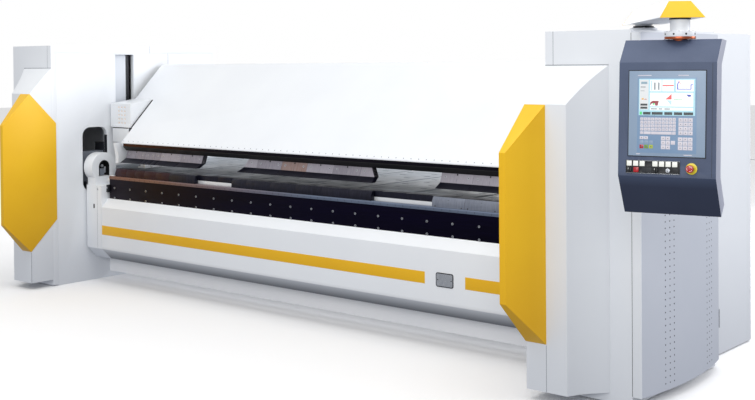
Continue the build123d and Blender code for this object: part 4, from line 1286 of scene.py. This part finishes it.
# a darker border and four short bars on the film, in place of printing
filmOut, filmThick = 0.003, 0.0003
bm = bmesh.new()
onPanel(bm, (-0.137, 1.430), (0.137, 1.7785), filmOut, filmThick, 0.0001)
for x0, x1, z in (
    (-0.136, -0.072, 1.787),
    (0.052, 0.10, 1.787),
    (-0.140, -0.122, 1.4215),
    (0.080, 0.118, 1.4215),
):
    onPanel(bm, (x0, z), (x1, z + 0.0035), filmOut, filmThick, 0.0001, 1)
addDetail("bezelInset", bm, "panel_bezel", "film_inset", "key_film")
print("panel film, keys and picture")


# ---------------------------------------------------------------- panel buttons
buttonLook = {"half": 0.0118, "z": 1.379, "pitch": 0.0304, "first": -0.171, "lower": 1.350}
half, buttonZ, lowerZ = buttonLook["half"], buttonLook["z"], buttonLook["lower"]
places = [buttonLook["first"] + buttonLook["pitch"] * k for k in (0, 1, 2, 4, 5, 6, 7)]


def squareCap(nodeName, x, z, finishName, out=0.0042, thick=0.0058):
    bm = bmesh.new()
    onPanel(bm, (x - half, z - half), (x + half, z + half), out, thick, 0.0018)
    inner = half * 0.8
    top = out + thick - 0.0002
    onPanel(bm, (x - inner, z - inner), (x + inner, z + inner), top, 0.0005, 0.0004)
    discOnPanel(bm, x, z, 0.0068, -0.0195, 0.0240, index=1)
    replaceNode(nodeName, bm, finishName, "black_plastic")


for number, x in enumerate(places[3:], start=1):
    squareCap(f"white_button_{number}", x, buttonZ, "white_button")
squareCap("red_button", -0.138, lowerZ, "red_button")
bm = bmesh.new()
for x in places[:3]:
    corner = (x + half, buttonZ + half)
    onPanel(bm, (x - half, buttonZ - half), corner, 0.0032, 0.0042, 0.0016)
    discOnPanel(bm, x, buttonZ, 0.0068, -0.0185, 0.0216, index=1)
replaceNode("indicator_lamps", bm, "white_button", "black_plastic")

# ribs between the cells of the button plate, and its edge
bm = bmesh.new()
for k in range(9):
    x = buttonLook["first"] - 0.0152 + buttonLook["pitch"] * k
    onPanel(bm, (x - 0.0009, 1.3345), (x + 0.0009, 1.3930), 0.003, 0.0014, 0.0003)
onPanel(bm, (-0.1862, 1.3633), (0.0570, 1.3651), 0.003, 0.0014, 0.0003)
for z in (1.3335, 1.3920):
    onPanel(bm, (-0.1875, z), (0.0635, z + 0.0012), 0.003, 0.0006, 0.0002, 1)
onPanel(bm, (-0.111, 1.3385), (-0.066, 1.3615), 0.003, 0.0012, 0.0004, 2)
addDetail("buttonRibs", bm, "button_plate", "black_plastic", "zinc", "dark_enamel")

# white pointers on the knobs, with the white caps' faint glow as painted light
for nodeName, x in (("left_knob", -0.171), ("right_knob", -0.048)):
    bm = bmesh.new()
    corner = (x + 0.0008, lowerZ + 0.0085)
    onPanel(bm, (x - 0.0008, lowerZ + 0.001), corner, 0.0212, 0.0003)
    addDetail(shapeName(nodeName) + "Pointer", bm, nodeName, "white_button")

# three curved rows of small studs on the stop button, with the white caps' faint glow as painted
# light
stopLook = {"x": 0.117, "z": 1.362, "reach": 0.0115, "stud": 0.0011, "out": 0.0438}
bm = bmesh.new()
for start in (30, 150, 270):
    for step in range(6):
        angle = math.radians(start + 12 * step)
        x = stopLook["x"] + stopLook["reach"] * math.cos(angle)
        z = stopLook["z"] + stopLook["reach"] * math.sin(angle)
        discOnPanel(bm, x, z, stopLook["stud"], stopLook["out"], 0.0005, sides=8)
addDetail("stopButtonRibs", bm, "stop_button", "white_button")
print("panel buttons")


# ---------------------------------------------------------------- the other CAD parts
innerLook = {
    "leveling_bolts": "zinc",
    "lower_beam": "frame_paint",
    # the table frame seen through the gaps is drawn black: painted shade
    "table_frame": "deep_black",
    "gauge_rails": "zinc",
    "upper_beam": "beam_edge",
    "lift_plates": "frame_paint",
    "lift_screws": "zinc",
    "lift_gearmotors": "motor_paint",
    "upper_guide_rails": "dark_enamel",
    "folding_beam": "frame_paint",
    "hub_bearings": "motor_paint",
    "folding_gearmotors": "motor_paint",
    "door_hinges": "zinc",
    "switchgear": "black_plastic",
}
for nodeName, finishName in innerLook.items():
    mesh = frame["nodes"][nodeName].data
    mesh.materials.clear()
    mesh.materials.append(finish[finishName])
    mesh.polygons.foreach_set("material_index", [0] * len(mesh.polygons))
for obj in [o for o in bpy.data.objects if o.name.startswith("template")]:
    bpy.data.objects.remove(obj)
print("inner parts finished")


# ---------------------------------------------------------------- floor, light and camera
floorLook = {"half": 40.0, "top": -0.0005, "bottom": -0.3}
size = floorLook["half"]
bm = bmesh.new()
addBlock(bm, (-size, -size, floorLook["bottom"]), (size, size, floorLook["top"]))
mesh = meshFrom("studioFloor", bm)
mesh.materials.append(finish["floor_paint"])
studioFloor = bpy.data.objects.new("studioFloor", mesh)
bpy.context.scene.collection.objects.link(studioFloor)
# the bright floor throws no light back at the machine, so its undersides stay dark
studioFloor.visible_diffuse = False
studioFloor.visible_glossy = False

world = bpy.data.worlds.new("studio")
bpy.context.scene.world = world
world.use_nodes = True
sky = world.node_tree
sky.nodes.clear()
skyPlace = addNode(sky, "ShaderNodeTexCoord").outputs["Generated"]
lift = ranged(sky, placeAlong(sky, skyPlace, "Z"), -0.35, 0.55, 0.0, 1.0)
light = blendColour(sky, lift, linearColour("#A4A8B2"), linearColour("#FFFFFF"))
roomLight = addNode(sky, "ShaderNodeBackground", {"Strength": 0.78}, {"Color": light})
backdrop = addNode(sky, "ShaderNodeBackground", {"Color": (1, 1, 1, 1), "Strength": 1.0})
seen = addNode(sky, "ShaderNodeLightPath").outputs["Is Camera Ray"]
links = {0: seen, 1: roomLight.outputs[0], 2: backdrop.outputs[0]}
mixed = addNode(sky, "ShaderNodeMixShader", links=links)
addNode(sky, "ShaderNodeOutputWorld", links={"Surface": mixed.outputs[0]})


def addSoftbox(name, spot, target, size, power, tint="#FFFFFF"):
    lamp = bpy.data.lights.new(name, "AREA")
    lamp.shape = "RECTANGLE"
    lamp.size, lamp.size_y = size
    lamp.energy = power
    lamp.color = linearColour(tint)[:3]
    obj = bpy.data.objects.new(name, lamp)
    bpy.context.scene.collection.objects.link(obj)
    obj.location = spot
    aim = Vector(target) - Vector(spot)
    obj.rotation_euler = aim.to_track_quat("-Z", "Y").to_euler()


addSoftbox("frontBox", (6.0, -10.5, 4.2), (1.4, 0.0, 1.1), (8.0, 4.0), 410)
addSoftbox("topBox", (2.0, -2.5, 8.0), (0.8, 0.0, 0.8), (9.0, 4.0), 225)
addSoftbox("rightBox", (9.0, 5.5, 4.6), (2.4, 0.6, 1.5), (4.0, 4.0), 430, "#F6F8FF")
addSoftbox("rearBox", (0.0, 6.0, 4.2), (0.0, 0.6, 0.9), (6.0, 2.5), 220)

cameraLook = {"spot": (5.880, -5.931, 1.855), "azimuth": 40.52, "pitch": -0.93, "roll": -0.008}
camera = bpy.data.cameras.new("camera")
camera.lens = 54.41
camera.sensor_width = 36.0
camera.shift_y = -0.1565
camera.clip_end = 200
cameraObject = bpy.data.objects.new("camera", camera)
bpy.context.scene.collection.objects.link(cameraObject)
azimuth, pitch = math.radians(cameraLook["azimuth"]), math.radians(cameraLook["pitch"])
level = Vector((-math.sin(azimuth), math.cos(azimuth), 0))
forward = level * math.cos(pitch) + Vector((0, 0, math.sin(pitch)))
right = forward.cross(Vector((0, 0, 1))).normalized()
upward = right.cross(forward)
cosRoll, sinRoll = math.cos(cameraLook["roll"]), math.sin(cameraLook["roll"])
right, upward = right * cosRoll + upward * sinRoll, upward * cosRoll - right * sinRoll
turned = Matrix((right, upward, -forward)).transposed().to_4x4()
cameraObject.matrix_world = Matrix.Translation(cameraLook["spot"]) @ turned
bpy.context.scene.camera = cameraObject
bpy.context.scene.view_settings.view_transform = "Standard"
print("stage set")
